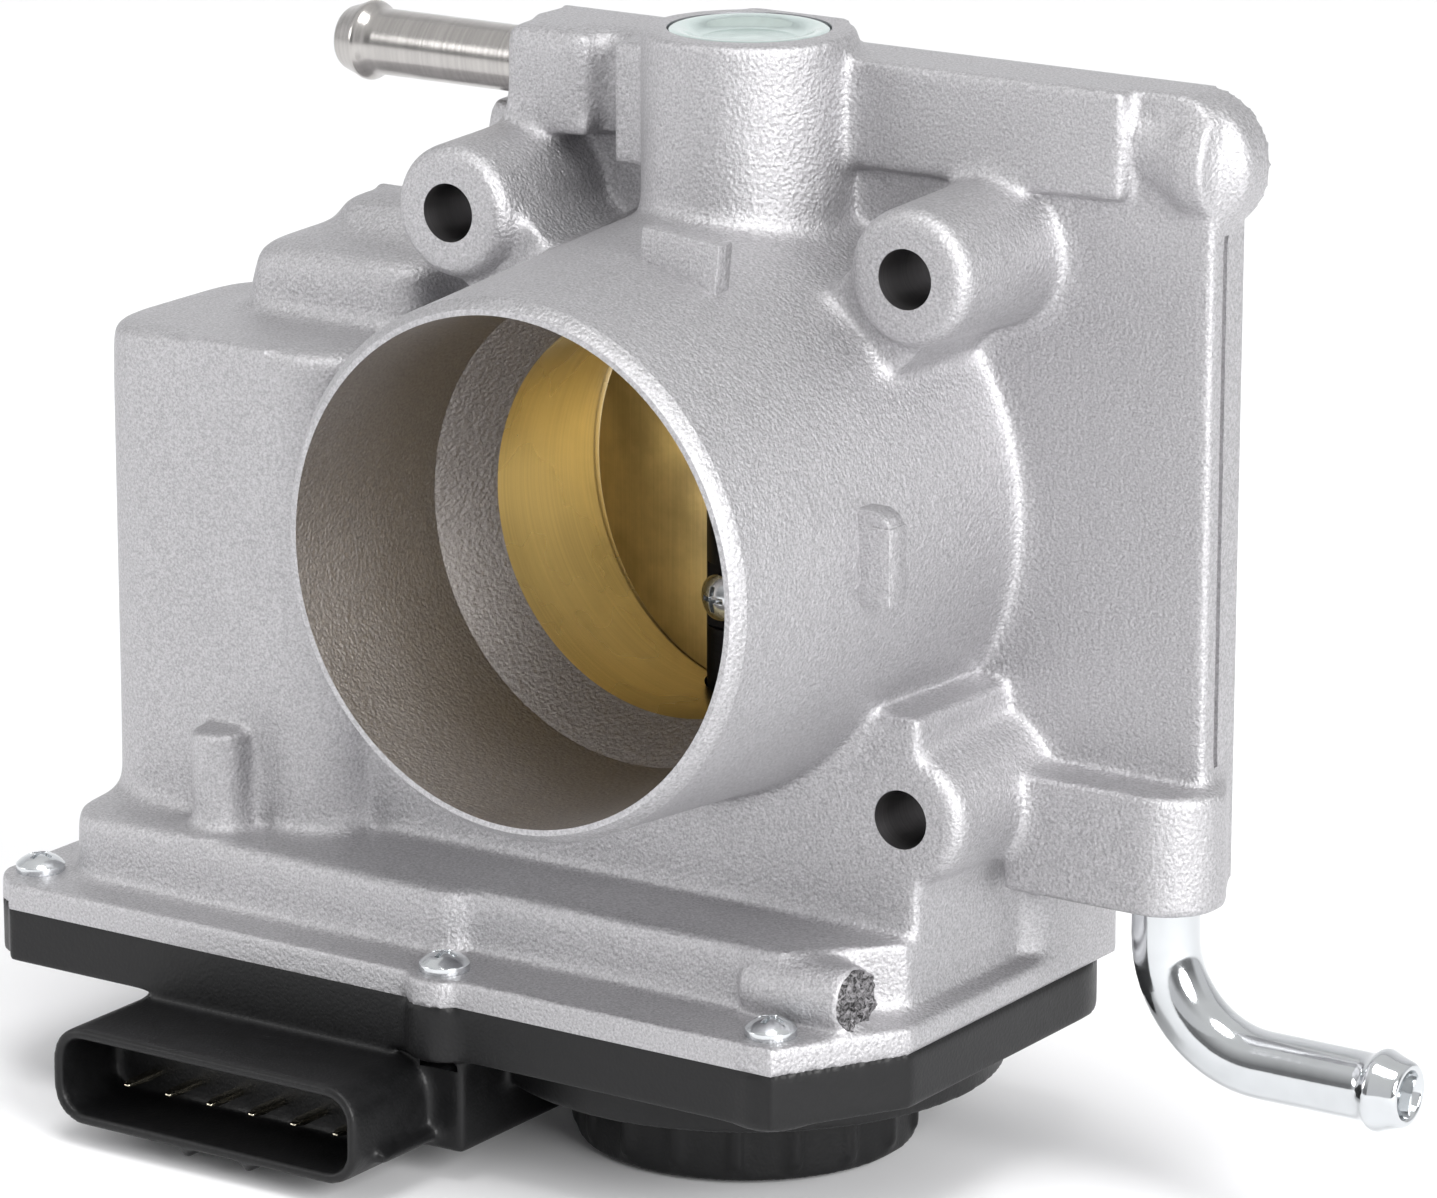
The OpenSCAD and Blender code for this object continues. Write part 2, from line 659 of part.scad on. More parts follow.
module stop_screw() {
    color("#8d9196") in_frame() translate([stop_tip_x, stop_y, stop_z]) rotate([0, 90, 0]) difference() {
        union() {
            cylinder(h = 11, r = m4_r);
            translate([0, 0, 7.3]) cylinder(h = 2.2, r = 3, $fn = 6);
        }
        translate([0, 0, 9.4]) cylinder(h = 2, r = 1.1, $fn = 6);
    }
}

module intermediate_gear() {
    tooth_a = atan2(motor_y - idle_y, motor_x - idle_x);
    color("#e4dfd2") in_frame() translate([idle_x, idle_y, 0]) difference() {
        union() {
            difference() {
                translate([0, 0, large_top - large_t]) linear_extrude(large_t)
                    gear_outline(module_a, teeth_large, tooth_a);
                ring(7.5, pitch_large - 3, large_top - 1.1, large_top + cut);
            }
            translate([0, 0, small_low]) linear_extrude(large_top - large_t - small_low + cut)
                gear_outline(module_b, teeth_small, idle_angle + 180);
        }
        z_cyl(0, 0, small_low - cut, large_top + cut, idle_pin_r + run_gap);
    }
}

module intermediate_pin() {
    color("#a7abb0") in_frame() z_cyl(idle_x, idle_y, idle_pin_low, ceiling + 6, idle_pin_r);
}

// ---------- motor ----------
module at_motor() { in_frame() translate([motor_x, motor_y, 0]) children(); }

module motor_can() {
    color("#a9adb2") at_motor() difference() {
        union() { z_cyl(0, 0, can_low, can_top - 3, can_r); z_cyl(0, 0, can_top - 4, can_top, 7); }
        z_cyl(0, 0, can_low - cut, can_top - 3 - can_wall, can_r - can_wall);
        z_cyl(0, 0, can_top - 6, can_top - 1, motor_shaft_r + run_gap);
    }
}

module motor_magnets() {
    color("#4a4c50") at_motor() intersection() {
        ring(can_r - can_wall - 2.6, can_r - can_wall, can_low + 8, can_top - 10);
        for (a = [0, 180]) rotate([0, 0, a]) block([-11, 3, can_low], [11, can_r, can_top]);
    }
}

// Laminated core with five slots and its winding heads
module motor_armature() {
    core_r = can_r - can_wall - 2.6 - free_gap;
    color("#a5653a") at_motor() difference() {
        union() {
            difference() {
                z_cyl(0, 0, can_low + 12, can_top - 13, core_r);
                for (a = [0:72:288]) rotate([0, 0, a])
                    block([4.4, -0.9, can_low], [core_r + 1, 0.9, can_top]);
            }
            z_cyl(0, 0, can_low + 9, can_top - 10, core_r - 3.2);
            z_cyl(0, 0, can_low + 3.4, can_low + 9, 3.6);
        }
        z_cyl(0, 0, can_low, can_top, motor_shaft_r);
    }
}

module motor_shaft() {
    color("#c2c5c9") at_motor() z_cyl(0, 0, motor_shaft_low, can_top - 1.4, motor_shaft_r);
}

module motor_pinion() {
    // a tooth gap faces the tooth of the large gear
    gap_a = atan2(idle_y - motor_y, idle_x - motor_x) + 180 / teeth_pinion;
    color("#c8a45a") at_motor() difference() {
        translate([0, 0, pinion_low]) linear_extrude(pinion_top - pinion_low)
            gear_outline(module_a, teeth_pinion, gap_a);
        z_cyl(0, 0, pinion_low - cut, pinion_top + cut, motor_shaft_r);
    }
}

// Flat outline of the end cap with its two ears
module end_cap_outline() {
    difference() {
        union() {
            circle(r = can_r);
            for (a = motor_screw_angles) rotate(a) {
                translate([motor_screw_r, 0]) circle(r = motor_ear_r);
                translate([10, -2.8]) square([motor_screw_r - 10, 5.6]);
            }
        }
        circle(r = motor_shaft_r + run_gap);
        for (a = motor_screw_angles) rotate(a) translate([motor_screw_r, 0]) circle(r = m3_r + 0.2);
        for (a = terminal_angles) rotate(a) translate([9, -2]) square([1, 4]);
    }
}

module motor_end_cap() {
    color("#26272a") at_motor() {
        translate([0, 0, ceiling - end_cap_t]) linear_extrude(end_cap_t) end_cap_outline();
        ring(motor_shaft_r + run_gap, 5, ceiling - end_cap_t - 1.4, ceiling - end_cap_t);
        difference() {
            ring(motor_shaft_r + run_gap, can_r - can_wall, ceiling, ceiling + 2.4);
            for (a = terminal_angles) rotate([0, 0, a]) block([9, -2, ceiling - cut], [10, 2, ceiling + 3]);
        }
    }
}

module motor_screws() {
    color("#b9bdc1") at_motor() for (a = motor_screw_angles) rotate([0, 0, a])
        translate([motor_screw_r, 0, ceiling - end_cap_t]) rotate([180, 0, 0])
            pan_screw(m3_r, 2.8, 1.7, end_cap_t + 7);
}

module motor_wave_spring() {
    color("#8f949a") at_motor() ring(8, 12.5, can_top - 3, can_top - 3 + 4.6);
}

module motor_terminals() {
    color("#c9a24b") at_motor() for (a = terminal_angles) rotate([0, 0, a])
        block([9, -2, ceiling - end_cap_t - 4.4], [10, 2, ceiling + 1.4]);
}

// ---------- cover ----------
module cover_outside() {
    translate([0, 0, cover_low]) linear_extrude(joint_z - cover_low) joint_outline();
    // raised floor under the gears
    translate([0, 0, cover_low - 1]) linear_extrude(4) {
        round_rect([-82, -32], [26, 22], 5);
        translate([idle_x, idle_y]) circle(r = gear_case_r + cover_wall);
    }
    z_cyl(idle_x, idle_y, dome_low, joint_z - 3, 12);
    z_cyl(0, 0, dome_low, joint_z - 4, dome_r);
    z_cyl(0, 0, joint_z - drum_drop, joint_z - 4, drum_r);
    for (a = [200:20:420]) rotate([0, 0, a])
        block([drum_r - 1, -0.8, joint_z - drum_drop + 1.5], [drum_r + 0.7, 0.8, dome_low + 1]);
    // block that holds the leads of the connector
    block([plug_x - 20, front_y + 1.5, block_low], [-16.6, -14, joint_z - 6]);
    // posts under the two front screws
    for (p = [cover_screw_at[1], cover_screw_at[2]])
        z_cyl(p[0], p[1], cover_low - 0.4, cover_low + 1, lobe_r - 0.4);
}

module connector_shell() {
    lo = [plug_x - plug_w / 2, plug_z - plug_h / 2];
    hi = [plug_x + plug_w / 2, plug_z + plug_h / 2];
    y_plate(-plug_reach, plug_root) round_rect(lo, hi, plug_corner);
    // guide ribs under the shroud and the latch bar beside it
    for (x = [plug_x - 4, plug_x + 5.5])
        block([x, -plug_reach + 1, lo[1] - 1.5], [x + 1.2, -plug_reach + 11, lo[1] + 1]);
    block([hi[0] - 1, -plug_reach + 4, plug_z - 3.9], [hi[0] + 1.4, plug_root, plug_z - 2.5]);
}

module gear_cover() {
    lo = [plug_x - plug_w / 2 + plug_wall, plug_z - plug_h / 2 + plug_wall];
    hi = [plug_x + plug_w / 2 - plug_wall, plug_z + plug_h / 2 - plug_wall];
    color("#26272a") in_frame() difference() {
        union() { cover_outside(); connector_shell(); }
        translate([0, 0, joint_z - 5.6]) linear_extrude(5.6 + cut) case_space();
        z_cyl(0, 0, dome_low + cover_wall, joint_z + cut, dome_r - cover_wall);
        z_cyl(0, 0, joint_z - drum_drop + drum_floor, joint_z, drum_r - cover_wall - 1);
        z_cyl(idle_x, idle_y, small_low - 0.6, joint_z, 10);
        // seat of the intermediate pin
        z_cyl(idle_x, idle_y, idle_pin_low, joint_z, idle_pin_r);
        // groove of the seal
        translate([0, 0, joint_z - seal_depth]) linear_extrude(seal_depth + cut) difference() {
            seal_outline(seal_out);
            seal_outline(seal_in);
        }
        for (p = cover_screw_at) z_cyl(p[0], p[1], cover_low - 1, joint_z + cut, insert_r);
        y_plate(-plug_reach - cut, -plug_reach + plug_depth) round_rect(lo, hi, plug_corner - plug_wall);
        for (i = [0:plug_pins - 1]) connector_pin(i);
    }
}

// Outline of the seal line, grown by g from the gear space
module seal_outline(g) {
    round_rect([-80 - g, -30 - g], [24 + g, 20 + g], 4 + g);
    translate([idle_x, idle_y]) circle(r = gear_case_r + g);
    circle(r = 29 + g);
}

module cover_seal() {
    color("#1a1a1c") in_frame() translate([0, 0, joint_z - seal_depth])
        linear_extrude(seal_depth) difference() {
            seal_outline(seal_out);
            seal_outline(seal_in);
        }
}

module connector_pin(i) {
    x = plug_x + 0.5 + (i - (plug_pins - 1) / 2) * plug_pitch;
    block([x - pin_w / 2, -pin_tip, pin_z - pin_t / 2], [x + pin_w / 2, plug_root, pin_z + pin_t / 2]);
}

module connector_pins() {
    color("#d8d2c0") in_frame() for (i = [0:plug_pins - 1]) connector_pin(i);
}

module cover_screws() {
    color("#cfd2d4") in_frame() for (p = cover_screw_at)
        translate([p[0], p[1], rim_top]) pan_screw(m4_r, m4_head_r, m4_head_h, rim_t + cover_edge_h - 0.6);
}

module cover_inserts() {
    color("#c9cdd0") in_frame() for (p = cover_screw_at) translate([p[0], p[1], 0])
        ring(m4_r, insert_r, cover_low - 0.4, joint_z);
}

// Round board with the angle sensor in its middle
module sensor_board() {
    z0 = joint_z - drum_drop + drum_floor;
    color("#2f5d3a") in_frame() { z_cyl(0, 0, z0, z0 + 1, 16); z_cyl(0, 0, z0 + 1, shaft_low - 0.9, 4.2); }
}

// ---------- coolant nipples ----------
// Tube wall along +Z with a hose bead before its end
function nipple_wall(len) = [[nipple_in_r, 0], [nipple_r, 0], [nipple_r, len - 5.4], [bead_r, len - 3.9],
    [bead_r, len - 3.1], [nipple_r - 0.2, len - 0.3], [nipple_r - 0.5, len], [nipple_in_r, len]];

module straight_nipple() {
    color("#b3b3b0") in_frame() translate([block_left + nipple_seat, gallery_y, gallery_z])
        rotate([0, -90, 0]) rotate_extrude() polygon(nipple_wall(nipple_seat + nipple_len));
}

module bent_nipple() {
    color("#d0d3d6") in_frame() translate([riser_x, pipe_y, 0]) {
        ring(nipple_in_r, nipple_r, bend_top, pipe_boss_low + nipple_seat);
        translate([bend_r, 0, bend_top]) rotate([90, 0, 0]) rotate([0, 0, 180]) rotate_extrude(angle = 90)
            translate([bend_r, 0]) difference() { circle(r = nipple_r); circle(r = nipple_in_r); }
        translate([bend_r, 0, bend_top - bend_r]) rotate([0, 90, 0])
            rotate_extrude() polygon(nipple_wall(bend_tail));
    }
}

housing();
throttle_shaft();
throttle_plate();
plate_screws();
upper_bearing();
lower_bearing();
shaft_seal();
core_plug();
sector_gear();
sensor_magnets();
shaft_nut();
return_spring();
stop_screw();
intermediate_gear();
intermediate_pin();
motor_can();
motor_magnets();
motor_armature();
motor_shaft();
motor_pinion();
motor_end_cap();
motor_screws();
motor_wave_spring();
motor_terminals();
gear_cover();
cover_seal();
cover_screws();
cover_inserts();
sensor_board();
connector_pins();
straight_nipple();
bent_nipple();
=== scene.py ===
"""Looks of an electronic throttle body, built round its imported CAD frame.

Each sub-assembly is a class that holds its sizes in millimetres, measured from the throttle shaft axis, and
builds and dresses its own pieces. Every mesh is made in metres in the frame of the CAD model.
"""

import logging
import math
from collections.abc import Callable
from dataclasses import dataclass, field
from enum import Enum

import bmesh
import bpy
import numpy as np
from mathutils import Matrix, Vector, noise


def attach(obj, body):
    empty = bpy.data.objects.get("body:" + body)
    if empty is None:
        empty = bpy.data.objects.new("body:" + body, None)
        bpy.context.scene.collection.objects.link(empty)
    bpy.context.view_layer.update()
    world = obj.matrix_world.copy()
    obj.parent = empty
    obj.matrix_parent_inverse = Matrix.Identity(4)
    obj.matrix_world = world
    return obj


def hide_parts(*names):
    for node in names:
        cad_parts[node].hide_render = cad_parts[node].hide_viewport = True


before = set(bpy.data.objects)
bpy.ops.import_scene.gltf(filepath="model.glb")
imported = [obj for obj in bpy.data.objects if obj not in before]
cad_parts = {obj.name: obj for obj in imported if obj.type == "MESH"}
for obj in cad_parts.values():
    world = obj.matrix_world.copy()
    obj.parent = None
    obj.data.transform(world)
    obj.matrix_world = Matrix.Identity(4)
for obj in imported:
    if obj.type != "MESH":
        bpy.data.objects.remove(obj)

LOG = logging.getLogger("throttle_body")
MM = 0.001
SHAFT_Y = -11.5  # the shaft axis along Y, from the mounting face, in mm
CAST_VOXEL = 0.42  # grid of the rebuilt castings and mouldings, in mm

Outline = list[tuple[float, float]]
Section = Callable[[float], tuple[Vector, Vector, Vector]]
Place = tuple[float, float, float]
Flat = tuple[float, float]


class Axis(Enum):
    """The direction a round or extruded shape runs along."""

    X = (1, 2, 0)
    Y = (2, 0, 1)
    Z = (0, 1, 2)


class Cut(Enum):
    """How a tool solid is combined with the solid it meets."""

    ADD = "UNION"
    REMOVE = "DIFFERENCE"


def spot(x: float, y: float, z: float) -> Vector:
    """Turns a place in mm about the shaft axis into a point of the frame, in metres."""
    return Vector((x, y + SHAFT_Y, z)) * MM


# ---------------------------------------------------------------- mesh tools


def put(name: str, mesh: bpy.types.Mesh) -> bpy.types.Object:
    """Makes an object of a mesh and links it to the scene."""
    made = bpy.data.objects.new(name, mesh)
    bpy.context.scene.collection.objects.link(made)
    return made


def solid(name: str, corners: list[Place], faces: list[tuple[int, ...]]) -> bpy.types.Object:
    """Makes a closed mesh from corners in mm about the shaft axis.

    Args:
        name: name of the piece.
        corners: corner places in mm.
        faces: corner numbers of each face.

    Returns:
        The new object, its faces turned outward.
    """
    mesh = bpy.data.meshes.new(name)
    mesh.from_pydata([spot(*c) for c in corners], [], faces)
    work = bmesh.new()
    work.from_mesh(mesh)
    bmesh.ops.recalc_face_normals(work, faces=work.faces)
    work.to_mesh(mesh)
    work.free()
    return put(name, mesh)


def turned(name: str, profile: Outline, axis: Axis, centre: tuple[float, float, float],
           steps: int = 128) -> bpy.types.Object:
    """Turns a profile round an axis into a closed solid.

    Args:
        name: name of the piece.
        profile: (radius, place along the axis) in mm; it closes on the axis, or on itself for a ring.
        axis: direction of the axis.
        centre: a point on the axis, from which places along it are measured.
        steps: number of facets round the axis.

    Returns:
        The new object.
    """
    u, v, w = axis.value
    corners, rings = [], []
    for radius, along in profile:
        count = 1 if radius == 0 else steps
        rings.append((len(corners), count))
        for i in range(count):
            angle = 2 * math.pi * i / steps
            place = list(centre)
            place[u] += radius * math.cos(angle)
            place[v] += radius * math.sin(angle)
            place[w] += along
            corners.append(tuple(place))
    pairs = list(zip(rings, rings[1:]))
    if profile[0][0] != 0:
        pairs.append((rings[-1], rings[0]))
    faces = []
    for (a, na), (b, nb) in pairs:
        for i in range(steps):
            j = (i + 1) % steps
            loop = [a + (i if na > 1 else 0), a + (j if na > 1 else 0),
                    b + (j if nb > 1 else 0), b + (i if nb > 1 else 0)]
            loop = list(dict.fromkeys(loop))
            if len(loop) > 2:
                faces.append(tuple(loop))
    return solid(name, corners, faces)


def rod(name: str, axis: Axis, centre: tuple[float, float, float], radius: float, start: float, end: float,
        steps: int = 96) -> bpy.types.Object:
    """Makes a round bar from start to end along an axis through centre, in mm."""
    return turned(name, [(0, start), (radius, start), (radius, end), (0, end)], axis, centre, steps)


def extruded(name: str, outline: Outline, axis: Axis, low: float, high: float) -> bpy.types.Object:
    """Extrudes a flat outline along an axis.

    Args:
        name: name of the piece.
        outline: corners in the two other directions, in the order the axis gives them.
        axis: direction of the extrusion.
        low: where it starts, in mm.
        high: where it ends, in mm.

    Returns:
        The new object.
    """
    u, v, w = axis.value
    corners = []
    for level in (low, high):
        for a, b in outline:
            place = [0.0, 0.0, 0.0]
            place[u], place[v], place[w] = a, b, level
            corners.append(tuple(place))
    n = len(outline)
    faces = [tuple(range(n)), tuple(range(n, 2 * n))]
    faces += [(i, (i + 1) % n, n + (i + 1) % n, n + i) for i in range(n)]
    return solid(name, corners, faces)


def slab(name: str, low: tuple[float, float, float], high: tuple[float, float, float]) -> bpy.types.Object:
    """Makes a tool block between two corners, in mm."""
    outline = [(low[0], low[1]), (high[0], low[1]), (high[0], high[1]), (low[0], high[1])]
    return extruded(name, outline, Axis.Z, low[2], high[2])


def round_outline(low: Flat, high: Flat, radius: float, steps: int = 8) -> Outline:
    """Gives the outline of a rectangle with round corners."""
    points = []
    for cx, cy, start in ((high[0] - radius, high[1] - radius, 0), (low[0] + radius, high[1] - radius, 90),
                          (low[0] + radius, low[1] + radius, 180), (high[0] - radius, low[1] + radius, 270)):
        for i in range(steps + 1):
            angle = math.radians(start + 90 * i / steps)
            points.append((cx + radius * math.cos(angle), cy + radius * math.sin(angle)))
    return points


def cad_copy(node: str, name: str) -> bpy.types.Object:
    """Copies a CAD node's mesh with its split corners joined again."""
    mesh = bpy.data.meshes.new(name)
    work = bmesh.new()
    work.from_mesh(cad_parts[node].data)
    bmesh.ops.remove_doubles(work, verts=work.verts, dist=1e-6)
    work.to_mesh(mesh)
    work.free()
    mesh.materials.clear()
    return put(name, mesh)


def apply_all(piece: bpy.types.Object) -> None:
    """Turns a piece's modifiers into plain mesh."""
    graph = bpy.context.evaluated_depsgraph_get()
    made = bpy.data.meshes.new_from_object(piece.evaluated_get(graph))
    old = piece.data
    piece.modifiers.clear()
    piece.data = made
    bpy.data.meshes.remove(old)


def combine(piece: bpy.types.Object, tools: list[bpy.types.Object], way: Cut, slot: int = 0) -> None:
    """Adds tool solids to a piece or removes them from it, and deletes the tools.

    Args:
        piece: the solid that is changed.
        tools: closed solids.
        way: whether they are added or removed.
        slot: material slot that the faces left by the tools get.
    """
    for tool in tools:
        for material in piece.data.materials:
            tool.data.materials.append(material)
        tool.data.polygons.foreach_set("material_index", np.full(len(tool.data.polygons), slot, np.int32))
        change = piece.modifiers.new("combine", "BOOLEAN")
        change.operation = way.value
        change.solver = "MANIFOLD"
        change.object = tool
    apply_all(piece)
    for tool in tools:
        bpy.data.objects.remove(tool)


def gathered(tools: list[bpy.types.Object]) -> bpy.types.Object:
    """Puts solids that stay clear of each other in one mesh, so that one cut does for all."""
    work = bmesh.new()
    for tool in tools:
        work.from_mesh(tool.data)
        bpy.data.objects.remove(tool)
    mesh = bpy.data.meshes.new("tools")
    work.to_mesh(mesh)
    work.free()
    return put("tools", mesh)


def revoxel(piece: bpy.types.Object, size_mm: float) -> None:
    """Rebuilds a closed piece on an even grid, so that its edges can be worn round."""
    change = piece.modifiers.new("grid", "REMESH")
    change.mode = "VOXEL"
    change.voxel_size = size_mm * MM
    apply_all(piece)


def places(mesh: bpy.types.Mesh) -> np.ndarray:
    """Reads a mesh's corners in mm about the shaft axis."""
    flat = np.empty(len(mesh.vertices) * 3, np.float32)
    mesh.vertices.foreach_get("co", flat)
    return flat.reshape(-1, 3).astype(float) / MM - np.array((0.0, SHAFT_Y, 0.0))


def set_places(mesh: bpy.types.Mesh, at: np.ndarray) -> None:
    """Writes corners in mm about the shaft axis back to a mesh."""
    flat = ((at + np.array((0.0, SHAFT_Y, 0.0))) * MM).astype(np.float32).ravel()
    mesh.vertices.foreach_set("co", flat)
    mesh.update()


class Wear:
    """Rounds the edges and fills the corners of a mesh on an even grid, as a die and a blast cabinet do."""

    def __init__(self, mesh: bpy.types.Mesh) -> None:
        """Reads the mesh and its edges."""
        self.mesh = mesh
        self.at = places(mesh)
        pairs = np.empty(len(mesh.edges) * 2, np.int32)
        mesh.edges.foreach_get("vertices", pairs)
        self.a, self.b = pairs[::2], pairs[1::2]
        count = len(self.at)
        self.valence = np.bincount(self.a, minlength=count) + np.bincount(self.b, minlength=count)
        self.valence = np.maximum(self.valence, 1)[:, None]

    def pull(self) -> np.ndarray:
        """Gives the step from each corner to the middle of its neighbours."""
        count = len(self.at)
        total = np.empty_like(self.at)
        for i in range(3):
            total[:, i] = (np.bincount(self.a, self.at[self.b, i], count)
                           + np.bincount(self.b, self.at[self.a, i], count))
        return total / self.valence - self.at

    def normals(self) -> np.ndarray:
        """Gives the outward direction at each corner."""
        set_places(self.mesh, self.at)
        flat = np.empty(len(self.at) * 3, np.float32)
        self.mesh.vertex_normals.foreach_get("vector", flat)
        return flat.reshape(-1, 3).astype(float)

    def fill(self, rounds: int, weight: np.ndarray) -> None:
        """Fills hollow corners only, as a fillet does.

        Args:
            rounds: number of passes; more passes give a larger radius.
            weight: share of each step that a corner takes.
        """
        for i in range(rounds):
            if i % 8 == 0:
                out = self.normals()
            step = self.pull()
            lift = np.maximum((step * out).sum(1, keepdims=True), 0)
            self.at += 0.9 * weight * (lift * out + 0.15 * step)

    def smooth(self, rounds: int, weight: np.ndarray) -> None:
        """Rounds edges and corners alike.

        Args:
            rounds: number of passes.
            weight: share of each step that a corner takes.
        """
        for _ in range(rounds):
            self.at += 0.6 * weight * self.pull()

    def write(self) -> None:
        """Puts the worn places back in the mesh."""
        set_places(self.mesh, self.at)


def ramp(value: np.ndarray, low: float, high: float) -> np.ndarray:
    """Gives a smooth rise from 0 at low to 1 at high."""
    t = np.clip((value - low) / (high - low), 0, 1)
    return t * t * (3 - 2 * t)


def shade(piece: bpy.types.Object, degrees: float = 38) -> None:
    """Shades a piece smooth, with its sharper edges left crisp."""
    mesh = piece.data
    mesh.shade_smooth()
    mesh.set_sharp_from_angle(angle=math.radians(degrees))


def crisp(piece: bpy.types.Object, degrees: float, cut_degrees: float) -> None:
    """Shades a casting smooth, and keeps the edges of its machined faces crisp at a smaller angle.

    Args:
        piece: the casting, whose cast faces have material slot 0.
        degrees: cast edges sharper than this stay crisp.
        cut_degrees: edges of machined faces sharper than this stay crisp.
    """
    mesh = piece.data
    mesh.shade_smooth()
    faces, loops = len(mesh.polygons), len(mesh.loops)
    normal, slots = np.empty(faces * 3, np.float32), np.empty(faces, np.int32)
    mesh.polygons.foreach_get("normal", normal)
    mesh.polygons.foreach_get("material_index", slots)
    sizes, edge_of = np.empty(faces, np.int32), np.empty(loops, np.int32)
    mesh.polygons.foreach_get("loop_total", sizes)
    mesh.loops.foreach_get("edge_index", edge_of)
    normal = normal.reshape(-1, 3)
    face_of = np.repeat(np.arange(faces), sizes)
    order = np.argsort(edge_of, kind="stable")
    edge_sorted, face_sorted = edge_of[order], face_of[order]
    twin = np.nonzero(edge_sorted[1:] == edge_sorted[:-1])[0]
    a, b = face_sorted[twin], face_sorted[twin + 1]
    turn = (normal[a] * normal[b]).sum(1)
    cut = (slots[a] != 0) | (slots[b] != 0)
    sharp = turn < np.where(cut, math.cos(math.radians(cut_degrees)), math.cos(math.radians(degrees)))
    marks = np.zeros(len(mesh.edges), bool)
    marks[edge_sorted[twin][sharp]] = True
    layer = mesh.attributes.get("sharp_edge") or mesh.attributes.new("sharp_edge", "BOOLEAN", "EDGE")
    layer.data.foreach_set("value", marks)
    mesh.update()


def break_edges(piece: bpy.types.Object, width: float, segments: int = 2, degrees: float = 32) -> None:
    """Bevels the sharp edges of a piece and shades it.

    Args:
        piece: a clean closed mesh.
        width: width of the bevel, in mm.
        segments: facets across the bevel.
        degrees: edges sharper than this are bevelled.
    """
    work = bmesh.new()
    work.from_mesh(piece.data)
    bmesh.ops.remove_doubles(work, verts=work.verts, dist=1e-6)
    bmesh.ops.dissolve_limit(work, angle_limit=math.radians(0.5), verts=work.verts, edges=work.edges)
    work.to_mesh(piece.data)
    work.free()
    change = piece.modifiers.new("edges", "BEVEL")
    change.width = width * MM
    change.segments = segments
    change.limit_method = "ANGLE"
    change.angle_limit = math.radians(degrees)
    change.use_clamp_overlap = True
    change.miter_outer = "MITER_ARC"
    apply_all(piece)
    shade(piece, 40)


def dress(piece: bpy.types.Object, *finishes: "Finish") -> None:
    """Gives a piece its finishes, one for each material slot in order."""
    piece.data.materials.clear()
    for finish in finishes:
        piece.data.materials.append(finish.material())


def settle(piece: bpy.types.Object, body: str, slot: str, *nodes: str) -> bpy.types.Object:
    """Lets a finished piece ride on a body and stand for CAD nodes.

    Args:
        piece: the finished piece.
        body: CAD body it moves with.
        slot: not used.
        nodes: CAD nodes that it stands for.

    Returns:
        The same piece.
    """
    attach(piece, body)
    if nodes:
        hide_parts(*nodes)
    LOG.info("%s: %d faces on %s", piece.name, len(piece.data.polygons), body)
    return piece


# ---------------------------------------------------------------- finishes


def linear(colour: str) -> tuple[float, float, float, float]:
    """Turns an sRGB hex colour into linear values."""
    parts = [int(colour[i:i + 2], 16) / 255 for i in (1, 3, 5)]
    return (*[p / 12.92 if p <= 0.04045 else ((p + 0.055) / 1.055) ** 2.4 for p in parts], 1.0)


def add(tree: bpy.types.NodeTree, kind: str, settings: dict | None = None, links: dict | None = None,
        **options: object) -> bpy.types.Node:
    """Adds a node with its settings and links.

    Args:
        tree: the material's node tree.
        kind: Blender's name of the node.
        settings: input name or number, and the plain value it gets.
        links: input name or number, and the socket that feeds it.
        options: properties of the node itself.

    Returns:
        The new node.
    """
    node = tree.nodes.new(kind)
    for key, value in options.items():
        setattr(node, key, value)
    for key, value in (settings or {}).items():
        node.inputs[key].default_value = value
    for key, source in (links or {}).items():
        tree.links.new(source, node.inputs[key])
    return node


